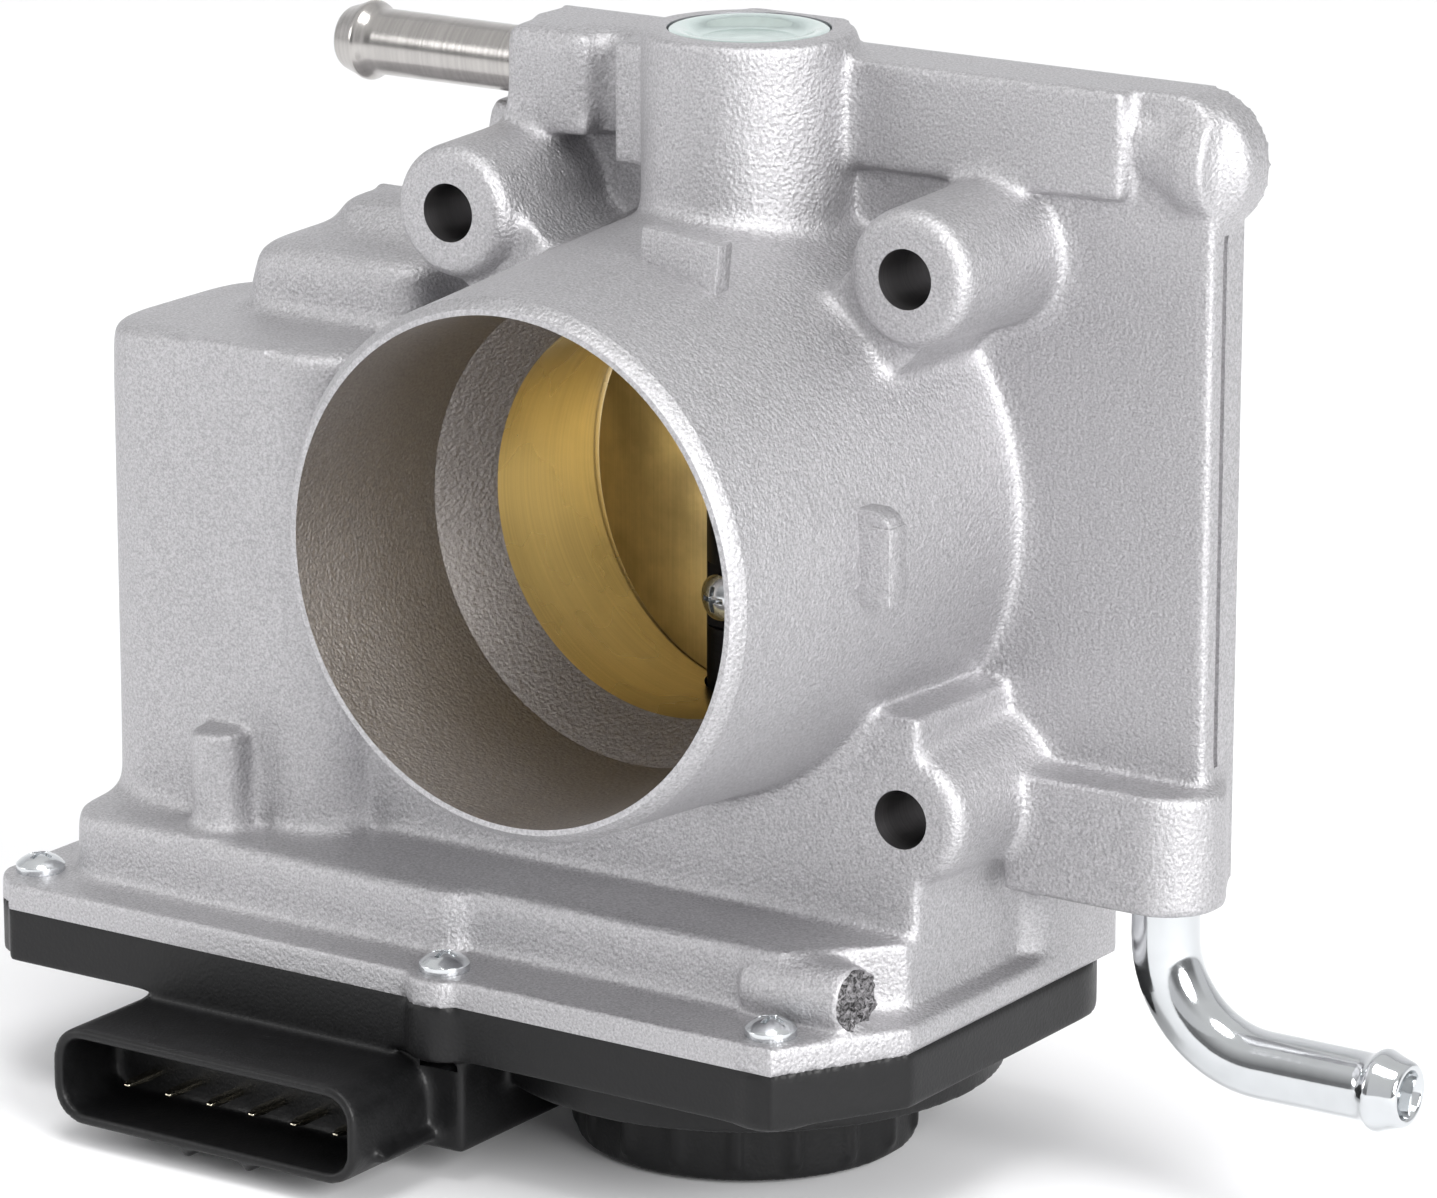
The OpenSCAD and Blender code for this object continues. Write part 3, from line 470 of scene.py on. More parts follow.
@dataclass(frozen=True)
class Finish:
    """A real material with the surface its making left."""

    name: str
    colour: str
    metallic: float = 0.0
    roughness: float = 0.5
    grain: float = 0.4  # size of the finest pattern, in mm
    relief: float = 0.02  # height of that pattern, in mm
    spread: float = 0.1  # change of brightness from grain to grain
    ior: float = field(default=1.5, kw_only=True)  # of plastics and rubber; metals keep the shader's default

    def material(self) -> bpy.types.Material:
        """Gives the finish as a material, made once and then shared."""
        found = bpy.data.materials.get(self.name)
        if found:
            return found
        made = bpy.data.materials.new(self.name)
        made.use_nodes = True
        tree = made.node_tree
        shader = tree.nodes["Principled BSDF"]
        shader.inputs["Metallic"].default_value = self.metallic
        shader.inputs["Roughness"].default_value = self.roughness
        shader.inputs["Base Color"].default_value = linear(self.colour)
        if not self.metallic:
            shader.inputs["IOR"].default_value = self.ior
        made.diffuse_color = linear(self.colour)
        self.pattern(tree, shader, self.millimetres(tree))
        return made

    def millimetres(self, tree: bpy.types.NodeTree) -> bpy.types.NodeSocket:
        """Gives the place on the object, in mm."""
        place = add(tree, "ShaderNodeTexCoord")
        scaled = add(tree, "ShaderNodeVectorMath", {1: (1 / MM,) * 3}, {0: place.outputs["Object"]},
                     operation="MULTIPLY")
        return scaled.outputs[0]

    def tint(self, tree: bpy.types.NodeTree, shader: bpy.types.Node, factor: bpy.types.NodeSocket,
             dark: float, light: float, low: float = 0.3, high: float = 0.7) -> bpy.types.Node:
        """Varies the base colour between a darker and a lighter tone.

        Args:
            tree: the material's node tree.
            shader: the surface shader.
            factor: pattern that drives the change.
            dark: brightness of the darker tone, as a share of the finish's colour.
            light: brightness of the lighter tone.
            low: pattern value of the darker tone.
            high: pattern value of the lighter tone.

        Returns:
            The colour ramp, already linked to the shader.
        """
        tones = add(tree, "ShaderNodeValToRGB", None, {"Fac": factor})
        base = linear(self.colour)
        for stop, place, share in zip(tones.color_ramp.elements, (low, high), (dark, light)):
            stop.position = place
            stop.color = (*[min(1.0, c * share) for c in base[:3]], 1)
        tree.links.new(tones.outputs["Color"], shader.inputs["Base Color"])
        return tones

    def vary(self, tree: bpy.types.NodeTree, shader: bpy.types.Node, factor: bpy.types.NodeSocket,
             low: float, high: float) -> None:
        """Lets a pattern move the roughness between two values."""
        span = add(tree, "ShaderNodeMapRange", {"To Min": low, "To Max": high}, {"Value": factor})
        tree.links.new(span.outputs["Result"], shader.inputs["Roughness"])

    def raise_by(self, tree: bpy.types.NodeTree, shader: bpy.types.Node, height: bpy.types.NodeSocket,
                 tall: float, strength: float = 1.0) -> bpy.types.Node:
        """Turns a pattern into relief of a given height in mm, over any relief already there."""
        bump = add(tree, "ShaderNodeBump", {"Strength": strength, "Distance": tall * MM}, {"Height": height})
        known = shader.inputs["Normal"].links
        if known:
            tree.links.new(known[0].from_socket, bump.inputs["Normal"])
        tree.links.new(bump.outputs["Normal"], shader.inputs["Normal"])
        return bump

    def pattern(self, tree: bpy.types.NodeTree, shader: bpy.types.Node, place: bpy.types.NodeSocket) -> None:
        """Draws the surface: an even fine grain, with a faint change of gloss over it."""
        fine = add(tree, "ShaderNodeTexNoise", {"Scale": 1 / self.grain, "Detail": 3.0, "Roughness": 0.6},
                   {"Vector": place})
        self.tint(tree, shader, fine.outputs["Fac"], 1 - self.spread, 1 + self.spread)
        broad = add(tree, "ShaderNodeTexNoise", {"Scale": 1 / 7, "Detail": 2.0}, {"Vector": place})
        self.vary(tree, shader, broad.outputs["Fac"], self.roughness - 0.06, self.roughness + 0.06)
        self.raise_by(tree, shader, fine.outputs["Fac"], self.relief)


@dataclass(frozen=True)
class BlastedCasting(Finish):
    """Aluminium-silicon die casting, shot blasted: pale, matt, and each small dent catches the light."""

    seams: tuple[tuple[str, float, tuple[float, ...]], ...] = ()  # axis, place and reach of each parting line

    def pattern(self, tree: bpy.types.NodeTree, shader: bpy.types.Node, place: bpy.types.NodeSocket) -> None:
        """Draws the shot's dents, their glints, a faint cloudiness and the parting lines of the die."""
        dents = add(tree, "ShaderNodeTexVoronoi", {"Scale": 1 / self.grain, "Randomness": 1.0},
                    {"Vector": place}, feature="SMOOTH_F1")
        fine = add(tree, "ShaderNodeTexNoise", {"Scale": 1.6 / self.grain, "Detail": 4.0, "Roughness": 0.7},
                   {"Vector": place})
        both = add(tree, "ShaderNodeMath", {0: 0.5, 1: 0.5},
                   {0: dents.outputs["Distance"], 1: fine.outputs["Fac"]}, operation="ADD")
        self.tint(tree, shader, fine.outputs["Fac"], 1 - self.spread, 1 + self.spread, 0.36, 0.64)
        # Patches where the shot struck harder or softer are some 12 mm across
        cloud = add(tree, "ShaderNodeTexNoise", {"Scale": 1 / 12, "Detail": 3.0}, {"Vector": place})
        self.vary(tree, shader, cloud.outputs["Fac"], self.roughness - 0.07, self.roughness + 0.07)
        self.raise_by(tree, shader, both.outputs[0], self.relief)
        # Slow unevenness of the skin where the metal froze
        swell = add(tree, "ShaderNodeTexNoise", {"Scale": 1 / 3.5, "Detail": 2.0}, {"Vector": place})
        self.raise_by(tree, shader, swell.outputs["Fac"], 0.10)
        for axis, at, limits in self.seams:
            self.raise_by(tree, shader, self.seam(tree, place, axis, at, limits), 0.12)

    def seam(self, tree: bpy.types.NodeTree, place: bpy.types.NodeSocket, axis: str, at: float,
             limits: tuple[float, ...]) -> bpy.types.NodeSocket:
        """Draws one parting line: a ridge where a plane square to an axis meets the skin.

        Args:
            tree: the material's node tree.
            place: place on the object, in mm.
            axis: X, Y or Z, the axis square to the plane.
            at: where the plane is, in mm of the frame.
            limits: lowest and highest X, Y and Z that the line reaches.

        Returns:
            A height from 0 to 1.
        """
        split = add(tree, "ShaderNodeSeparateXYZ", None, {0: place})
        wander = add(tree, "ShaderNodeTexNoise", {"Scale": 1 / 4, "Detail": 2.0}, {"Vector": place})
        moved = add(tree, "ShaderNodeMath", {1: 0.5}, {0: wander.outputs["Fac"], 2: split.outputs[axis]},
                    operation="MULTIPLY_ADD")
        height = add(tree, "ShaderNodeMath", {1: at + 0.25, 2: 0.16}, {0: moved.outputs[0]},
                     operation="COMPARE")
        value = height.outputs[0]
        for i, name in enumerate("XYZ"):
            above = add(tree, "ShaderNodeMath", {1: limits[2 * i]}, {0: split.outputs[name]},
                        operation="GREATER_THAN")
            below = add(tree, "ShaderNodeMath", {1: limits[2 * i + 1]}, {0: split.outputs[name]},
                        operation="LESS_THAN")
            for gate in (above, below):
                value = add(tree, "ShaderNodeMath", None, {0: value, 1: gate.outputs[0]},
                            operation="MULTIPLY").outputs[0]
        return value


@dataclass(frozen=True)
class TurnedMetal(Finish):
    """Metal finished by a cutting tool: fine lines that run round the axis of the cut."""

    axis: str = "Y"
    pitch: float = 0.25  # feed marks, drawn coarser than the real 0.1 mm so that they show

    def pattern(self, tree: bpy.types.NodeTree, shader: bpy.types.Node, place: bpy.types.NodeSocket) -> None:
        """Draws the feed marks and a slow change of gloss."""
        stretch = [0.03, 0.03, 0.03]
        stretch["XYZ".index(self.axis)] = 1 / self.pitch
        along = add(tree, "ShaderNodeVectorMath", {1: tuple(stretch)}, {0: place}, operation="MULTIPLY")
        lines = add(tree, "ShaderNodeTexNoise", {"Scale": 1.0, "Detail": 2.0}, {"Vector": along.outputs[0]})
        self.tint(tree, shader, lines.outputs["Fac"], 1 - self.spread, 1 + self.spread)
        broad = add(tree, "ShaderNodeTexNoise", {"Scale": 1 / 9, "Detail": 2.0}, {"Vector": place})
        self.vary(tree, shader, broad.outputs["Fac"], self.roughness - 0.05, self.roughness + 0.07)
        self.raise_by(tree, shader, lines.outputs["Fac"], self.relief)


@dataclass(frozen=True)
class RolledSheet(Finish):
    """Metal cut from rolled sheet: straight faint streaks, and a few handling marks."""

    def pattern(self, tree: bpy.types.NodeTree, shader: bpy.types.Node, place: bpy.types.NodeSocket) -> None:
        """Draws the rolling streaks along Z and the marks across them."""
        along = add(tree, "ShaderNodeVectorMath", {1: (1 / self.grain, 1 / self.grain, 0.05)}, {0: place},
                    operation="MULTIPLY")
        streaks = add(tree, "ShaderNodeTexNoise", {"Scale": 1.0, "Detail": 3.0}, {"Vector": along.outputs[0]})
        stain = add(tree, "ShaderNodeTexNoise", {"Scale": 1 / 6, "Detail": 4.0, "Roughness": 0.6},
                    {"Vector": place})
        both = add(tree, "ShaderNodeMath", {1: 0.35}, {0: streaks.outputs["Fac"], 2: stain.outputs["Fac"]},
                   operation="MULTIPLY_ADD")
        self.tint(tree, shader, both.outputs[0], 1 - self.spread, 1 + self.spread, 0.5, 0.85)
        self.vary(tree, shader, stain.outputs["Fac"], self.roughness - 0.05, self.roughness + 0.1)
        self.raise_by(tree, shader, streaks.outputs["Fac"], self.relief)


@dataclass(frozen=True)
class PlatedSteel(Finish):
    """Steel with a thin bright electroplate: a clear mirror over a skin that is not quite even."""

    waviness: float = 2.2  # size of the slow unevenness, in mm

    def pattern(self, tree: bpy.types.NodeTree, shader: bpy.types.Node, place: bpy.types.NodeSocket) -> None:
        """Draws the slow unevenness, fine pits and a change of gloss."""
        slow = add(tree, "ShaderNodeTexNoise", {"Scale": 1 / self.waviness, "Detail": 2.0}, {"Vector": place})
        fine = add(tree, "ShaderNodeTexNoise", {"Scale": 1 / self.grain, "Detail": 3.0}, {"Vector": place})
        self.tint(tree, shader, slow.outputs["Fac"], 1 - self.spread, 1 + self.spread)
        self.vary(tree, shader, fine.outputs["Fac"], self.roughness * 0.6, self.roughness * 1.5)
        self.raise_by(tree, shader, slow.outputs["Fac"], self.relief)
        self.raise_by(tree, shader, fine.outputs["Fac"], self.relief * 0.15)


@dataclass(frozen=True)
class MouldedPlastic(Finish):
    """Injection-moulded plastic from a spark-eroded tool: an even texture, with glass fibre just showing."""

    def pattern(self, tree: bpy.types.NodeTree, shader: bpy.types.Node, place: bpy.types.NodeSocket) -> None:
        """Draws the spark texture, the flow of the fibre and paler worn spots."""
        spark = add(tree, "ShaderNodeTexVoronoi", {"Scale": 1 / self.grain}, {"Vector": place},
                    feature="SMOOTH_F1")
        flow = add(tree, "ShaderNodeTexNoise", {"Scale": 1 / 2.5, "Detail": 5.0, "Distortion": 1.2},
                   {"Vector": place})
        self.tint(tree, shader, flow.outputs["Fac"], 1 - self.spread, 1 + 2 * self.spread, 0.35, 0.7)
        self.vary(tree, shader, flow.outputs["Fac"], self.roughness - 0.08, self.roughness + 0.08)
        self.raise_by(tree, shader, spark.outputs["Distance"], self.relief)


@dataclass(frozen=True)
class BrokenMetal(Finish):
    """Aluminium broken off at the runner: torn, grey-black in its hollows and bright on its crests."""

    def pattern(self, tree: bpy.types.NodeTree, shader: bpy.types.Node, place: bpy.types.NodeSocket) -> None:
        """Draws the torn relief with its dark hollows."""
        torn = add(tree, "ShaderNodeTexNoise", {"Scale": 1 / self.grain, "Detail": 6.0, "Roughness": 0.7,
                                                "Distortion": 1.5}, {"Vector": place})
        self.tint(tree, shader, torn.outputs["Fac"], 0.08, 1.1, 0.42, 0.62)
        self.vary(tree, shader, torn.outputs["Fac"], self.roughness - 0.15, self.roughness + 0.15)
        self.raise_by(tree, shader, torn.outputs["Fac"], self.relief)


# ADC12 die casting after shot blasting: silver grey, no mirror left, dents near 0.35 mm
CASTING = BlastedCasting("blasted_die_cast_aluminium", "#b9b8ba", 1.0, 0.5, 0.5, 0.11, 0.22, (
    ("Z", 0.4, (-84, -52, -37, -30, -1, 2)),
    ("Z", 23.0, (8, 30, -64, -32, 20, 26)),
    ("Y", -14.8, (-36, -22, -16.5, -13, 38, 56)),
    ("Y", -3.4, (55, 66, -6, -2, -26, 34)),
))
# The inside of the duct is blasted too; its colour is painted darker and warmer: painted shade, as it sees
# little light, and a faint painted reflection of the brass plate
DUCT_SKIN = BlastedCasting("blasted_duct_skin_painted_shade", "#a5a09d", 1.0, 0.5, 0.5, 0.10, 0.2)
# Bored to size: bare aluminium, its gold tint a painted reflection of the brass plate
BORE = TurnedMetal("bored_aluminium_painted_brass_reflection", "#ebdfb9", 1.0, 0.26, 0.1, 0.004, 0.06, "Y", 0.35)
# Holes drilled in the bare casting: dull grey, spiral feed marks
DRILLED = TurnedMetal("drilled_aluminium", "#8d8b8c", 1.0, 0.4, 0.1, 0.012, 0.1, "Y", 0.3)
DRILLED_UP = TurnedMetal("drilled_aluminium_upright", "#98969a", 1.0, 0.38, 0.1, 0.012, 0.1, "Z", 0.3)
# Faces milled flat for a gasket
MILLED = TurnedMetal("milled_aluminium", "#cfced0", 1.0, 0.28, 0.1, 0.006, 0.06, "X", 0.5)
SCAR = BrokenMetal("broken_aluminium", "#b4b2b4", 1.0, 0.42, 0.9, 0.5)
BRASS = RolledSheet("rolled_brass", "#dcc590", 1.0, 0.34, 0.25, 0.004, 0.14)
BLACK_STEEL = TurnedMetal("black_oxide_steel", "#26262a", 0.9, 0.42, 0.1, 0.006, 0.15, "Z", 0.2)
ZINC = PlatedSteel("bright_zinc_plate", "#d3d6d8", 1.0, 0.17, 0.4, 0.02, 0.05)
# Zinc with a blue-green passivation
CORE_ZINC = PlatedSteel("passivated_zinc_plate", "#d5e3df", 1.0, 0.16, 0.5, 0.012, 0.05)
BRIGHT_PIPE = PlatedSteel("bright_plated_tube", "#ced1d3", 1.0, 0.10, 0.8, 0.03, 0.04, 4.0)
SATIN_TUBE = TurnedMetal("satin_nickel_tube", "#b5b2af", 1.0, 0.22, 0.1, 0.006, 0.08, "X", 0.4)
GROUND = TurnedMetal("ground_bearing_steel", "#b9bcc0", 1.0, 0.2, 0.1, 0.003, 0.05, "Z", 0.2)
SPRING_WIRE = PlatedSteel("drawn_spring_wire", "#8b9096", 1.0, 0.3, 0.3, 0.01, 0.08)
CAN_STEEL = PlatedSteel("drawn_zinc_can", "#b7bbc0", 1.0, 0.28, 0.6, 0.02, 0.05)
PINION_BRASS = TurnedMetal("machined_brass", "#c9a75c", 1.0, 0.24, 0.1, 0.004, 0.06, "Z", 0.2)
TINNED = PlatedSteel("tinned_contact", "#ddd6c2", 1.0, 0.2, 0.3, 0.008, 0.05)
LAMINATED = TurnedMetal("laminated_core", "#8f5a37", 0.8, 0.4, 0.1, 0.02, 0.2, "Z", 0.5)
MAGNET = Finish("sintered_ferrite", "#3a3c40", 0.3, 0.6, 0.3, 0.02, 0.2)
RUBBER = Finish("moulded_rubber", "#171718", 0.0, 0.7, 0.5, 0.015, 0.15)
ACETAL = MouldedPlastic("moulded_acetal", "#d8d1bd", 0.0, 0.42, 0.5, 0.008, 0.03)
SOLDER_MASK = Finish("solder_mask", "#22552f", 0.0, 0.3, 0.6, 0.01, 0.12)
# PBT with 30% glass: charcoal grey where the spark texture scatters light
COVER_PLASTIC = MouldedPlastic("glass_filled_pbt", "#0d0d0e", 0.0, 0.44, 0.4, 0.03, 0.12, ior=1.4)


# ---------------------------------------------------------------- housing


class Skin(Enum):
    """Material slots of the housing."""

    CAST = 0
    DUCT = 1
    BORE = 2
    DRILLED = 3
    DRILLED_UP = 4
    MILLED = 5


@dataclass
class CastHousing:
    """The die-cast body: duct, flange, motor tower and gear case, with its machined bores."""

    inlet_len: float = 50.2
    inlet_r: float = 30.3
    inlet_end_r: float = 29.3
    step_front: float = -24.0
    step_back: float = -17.0
    bore_r: float = 25.0
    mount_y: float = 11.5
    spigot_r: float = 32.2
    lip_len: float = 1.6
    lip_t: float = 0.7
    bolt_at: float = 32.5
    bolt_face: float = -16.4
    bolt_r: float = 3.6
    boss_top: float = 56.0
    plug_r: float = 9.85
    plug_t: float = 5.0
    bearing_r: float = 7.0
    upper_seat: float = 28.0
    guide_low: float = -55.6
    lower_pocket: float = -42.3
    shaft_hole_r: float = 5.3
    joint_z: float = -58.8
    rim_top: float = -55.4
    screw_r: float = 2.25
    screws: tuple[Flat, ...] = ((-85.4, -32), (-20, -35.6), (26, -34), (29.5, 19), (-13.5, 32.4), (-85, 20.5))
    nipple_hole_r: float = 4.16
    channel: tuple[float, float, float, float] = (-20.0, 45.2, 20.0, 49.6)
    stub_end: float = 33.2
    stub_at: tuple[float, float] = (-27.0, -51.8)
    stub_r: float = 4.2

    def fillers(self) -> list[bpy.types.Object]:
        """Makes solids that close every machined hole, so that only cast edges are worn."""
        made = [
            rod("fill", Axis.Y, (0, 0, 0), self.inlet_r + 0.9, 1.5 - self.inlet_len - 3, self.mount_y),
            rod("fill", Axis.Y, (0, 0, 0), self.spigot_r, -self.inlet_len - 1.5,
                0.2 + self.lip_len - self.inlet_len),
            rod("fill", Axis.Z, (0, 0, 0), self.plug_r + 0.8, 25, self.boss_top),
            rod("fill", Axis.Z, (0, 0, 0), self.bearing_r + 0.8, self.guide_low, -30),
            rod("fill", Axis.X, (0, 5, 47.4), 4.8, -34.6, -23.6),
            rod("fill", Axis.Z, (56.7, 4.4, 0), 4.8, -43.8, -32.8),
            slab("fill", (-20.6, 8.3, 44.7), (20.6, self.mount_y, 50.1)),
            rod("fill", Axis.X, (0, 5, 47.4), 2.7, -24, 60),
            rod("fill", Axis.Z, (56.7, 7.6, 0), 2.4, -41, 50),
        ]
        for x in (-self.bolt_at, self.bolt_at):
            for z in (-self.bolt_at, self.bolt_at):
                made.append(rod("fill", Axis.Y, (x, 0, z), self.bolt_r + 0.6, self.bolt_face, self.mount_y))
        for x, y in self.screws:
            made.append(rod("fill", Axis.Z, (x, y, 0), self.screw_r + 0.6, self.joint_z, self.rim_top))
        return made

    def details(self) -> list[bpy.types.Object]:
        """Makes the small shapes that the die leaves: the runner stub and a low rib block."""
        y, z = self.stub_at
        return [
            rod("runner_stub", Axis.X, (0, y, z), self.stub_r, 19, self.stub_end),
            slab("rib_block", (-17.5, -3.4, 38), (-10, 3, 53)),
        ]

    def blank(self) -> bpy.types.Object:
        """Joins the CAD housing, its fillers and the die's details into one closed casting."""
        body = cad_copy("housing", "cast_housing")
        combine(body, self.fillers() + self.details(), Cut.ADD)
        revoxel(body, CAST_VOXEL)
        return body

    def wear(self, body: bpy.types.Object) -> None:
        """Gives the casting its fillets and round edges, with larger ones on the motor tower."""
        skin = Wear(body.data)
        x, y, z = skin.at.T
        hold = (1 - ramp(y, 9.9, 10.8) * (z > -46.4)) * (1 - ramp(-z, 57.2, 58.3))
        inside = (np.hypot(x, y) < 26) & (z < -50.2)
        hold = np.where(inside, hold * 0.3, hold)[:, None]
        skin.fill(26, hold)
        skin.smooth(4, hold)
        tower = ramp(z, 4, 9) * ramp(-x, 40, 43) * ramp(-y, -11.3, -9.5)
        corner = ramp(-x, 52, 66) * ramp(-y, 8, 16) * ramp(z, -44, -36)
        ledge = ramp(z, -52.5, -50) * (1 - ramp(z, -45, -43)) * ramp(-y, 17.5, 21) * ramp(-x, -22, -8)
        block = ramp(z, 41.5, 44) * ramp(-x, 17, 21) * ramp(6 - y, 1, 4)
        heavy = np.clip(np.maximum.reduce([tower, corner * 0.5, ledge * 0.6, block]), 0, 1)[:, None] * hold
        heavy *= (1 - (np.hypot(x + 61.5, y + 25.2) < 6.5) * (z > -48.5))[:, None]
        skin.smooth(70, heavy)
        skin.smooth(130, heavy * (ramp(z, 16, 20) * (x < -38))[:, None])
        skin.write()

    def crisp_marks(self, body: bpy.types.Object) -> None:
        """Adds the marks that stay sharp: the ejector pads on the duct and the die joint on the flange."""
        top = slab("pad_top", (-5.4, -28.2, -8), (5.4, -25.2, 0))
        tilt = Matrix.Translation(spot(9.3, 0, 36.9)) @ Matrix.Rotation(math.radians(5.5), 4, "Y")
        tilt = tilt @ Matrix.Translation(-spot(0, 0, 0))
        top.data.transform(tilt)
        side = slab("pad_side", (30, -27.2, -3.7), (37.6, -23.4, 5.8))
        roof = ((30, 5.6), (37.5, 5.6), (36.9, 6.8), (35.4, 7.6), (30, 7.6))
        peak = extruded("pad_peak", [(b, a) for a, b in roof], Axis.Y, -27.0, -23.6)
        for pad in (top, side, peak):
            break_edges(pad, 0.25, 2)
        combine(body, [top, side, peak], Cut.ADD, Skin.CAST.value)
        combine(body, [slab("groove", (60.8, 6.6, -27), (62.5, 7.5, 37))], Cut.REMOVE, Skin.CAST.value)

    def machine(self, body: bpy.types.Object) -> None:
        """Cuts the lip, the duct, the bore and every hole to size."""
        mouth, reach = -self.inlet_len, -self.inlet_len - 3
        lip = [(0, reach), (36, reach), (36, mouth + 2.0), (self.spigot_r + 0.3, mouth + 2.0),
               (self.inlet_r + self.lip_t, mouth), (0, mouth)]
        combine(body, [turned("lip", lip, Axis.Y, (0, 0, 0), 192)], Cut.REMOVE, Skin.CAST.value)
        duct = [(0, reach), (self.inlet_r, reach), (self.inlet_r, mouth), (self.inlet_end_r, self.step_front),
                (self.bore_r, self.step_back), (0, self.step_back)]
        combine(body, [turned("duct", duct, Axis.Y, (0, 0, 0), 192)], Cut.REMOVE, Skin.DUCT.value)
        bore = rod("bore", Axis.Y, (0, 0, 0), self.bore_r, self.step_back - 0.1, self.mount_y + 2, 192)
        combine(body, [bore], Cut.REMOVE, Skin.BORE.value)
        holes = [rod("bolt", Axis.Y, (x, 0, z), self.bolt_r, self.bolt_face - 2, self.mount_y + 2)
                 for x in (-self.bolt_at, self.bolt_at) for z in (-self.bolt_at, self.bolt_at)]
        left, low, right, high = self.channel
        holes.append(extruded("channel", [(b, a) for a, b in round_outline((left, low), (right, high), 2.0)],
                              Axis.Y, self.mount_y - 3, self.mount_y + 2))
        holes.append(rod("socket", Axis.X, (0, 5, 47.4), self.nipple_hole_r, -37, -23.6))
        combine(body, [gathered(holes)], Cut.REMOVE, Skin.DRILLED.value)
        seats = [(0, self.guide_low - 1), (self.bearing_r, self.guide_low - 1),
                 (self.bearing_r, self.lower_pocket), (self.shaft_hole_r, self.lower_pocket),
                 (self.shaft_hole_r, self.upper_seat), (self.bearing_r, self.upper_seat),
                 (self.bearing_r, self.boss_top - self.plug_t), (self.plug_r, self.boss_top - self.plug_t),
                 (self.plug_r, self.boss_top + 2), (0, self.boss_top + 2)]
        upright = [turned("seats", seats, Axis.Z, (0, 0, 0)),
                   rod("seat", Axis.Z, (56.7, 4.4, 0), self.nipple_hole_r, -47, -32.8)]
        upright += [rod("seat", Axis.Z, (x, y, 0), self.screw_r, self.joint_z - 1, self.rim_top + 1)
                    for x, y in self.screws]
        combine(body, [gathered(upright)], Cut.REMOVE, Skin.DRILLED_UP.value)

    def face_skins(self, body: bpy.types.Object) -> None:
        """Gives the gasket faces their milled finish."""
        mesh = body.data
        count = len(mesh.polygons)
        middle, normal = np.empty(count * 3, np.float32), np.empty(count * 3, np.float32)
        mesh.polygons.foreach_get("center", middle)
        mesh.polygons.foreach_get("normal", normal)
        middle, normal = middle.reshape(-1, 3) / MM, normal.reshape(-1, 3)
        slots = np.empty(count, np.int32)
        mesh.polygons.foreach_get("material_index", slots)
        gasket = (middle[:, 1] > -0.12) & (normal[:, 1] > 0.97) & (middle[:, 2] > -46.6)
        joint = (middle[:, 2] < self.joint_z + 0.12) & (normal[:, 2] < -0.97)
        slots[(gasket | joint) & (slots == Skin.CAST.value)] = Skin.MILLED.value
        mesh.polygons.foreach_set("material_index", slots)

    def scar(self) -> bpy.types.Object:
        """Makes the torn end of the runner stub."""
        y, z = self.stub_at
        rings, steps = 12, 40
        corners, faces = [(self.stub_end + 0.5, y, z)], []
        for k in range(1, rings + 1):
            for i in range(steps):
                angle = 2 * math.pi * i / steps
                ragged = 1 + 0.07 * noise.noise(Vector((math.cos(angle) * 2.3, math.sin(angle) * 2.3, 4.0)))
                radius = (self.stub_r - 0.25) * k / rings * ragged
                a, b = radius * math.cos(angle), radius * math.sin(angle)
                lump = noise.fractal(Vector((a * 0.55, b * 0.9, 7.3)), 0.7, 2.0, 4)
                height = 0.45 + 0.55 * lump if k < rings else -1.2
                corners.append((self.stub_end + height, y + a, z + b))
        for i in range(steps):
            faces.append((0, 1 + i, 1 + (i + 1) % steps))
        for k in range(rings - 1):
            for i in range(steps):
                j = (i + 1) % steps
                low, high = 1 + k * steps, 1 + (k + 1) * steps
                faces.append((low + i, high + i, high + j, low + j))
        faces.append(tuple(range(1 + (rings - 1) * steps, 1 + rings * steps)))
        piece = solid("runner_break", corners, faces)
        shade(piece, 60)
        dress(piece, SCAR)
        return piece

    def build(self) -> None:
        """Makes, machines and dresses the housing."""
        body = self.blank()
        self.wear(body)
        dress(body, CASTING, DUCT_SKIN, BORE, DRILLED, DRILLED_UP, MILLED)
        self.crisp_marks(body)
        self.machine(body)
        self.face_skins(body)
        crisp(body, 40, 14)
        settle(body, "body", "cast_housing", "housing")
        settle(self.scar(), "body", "cast_housing")


# ---------------------------------------------------------------- throttle valve


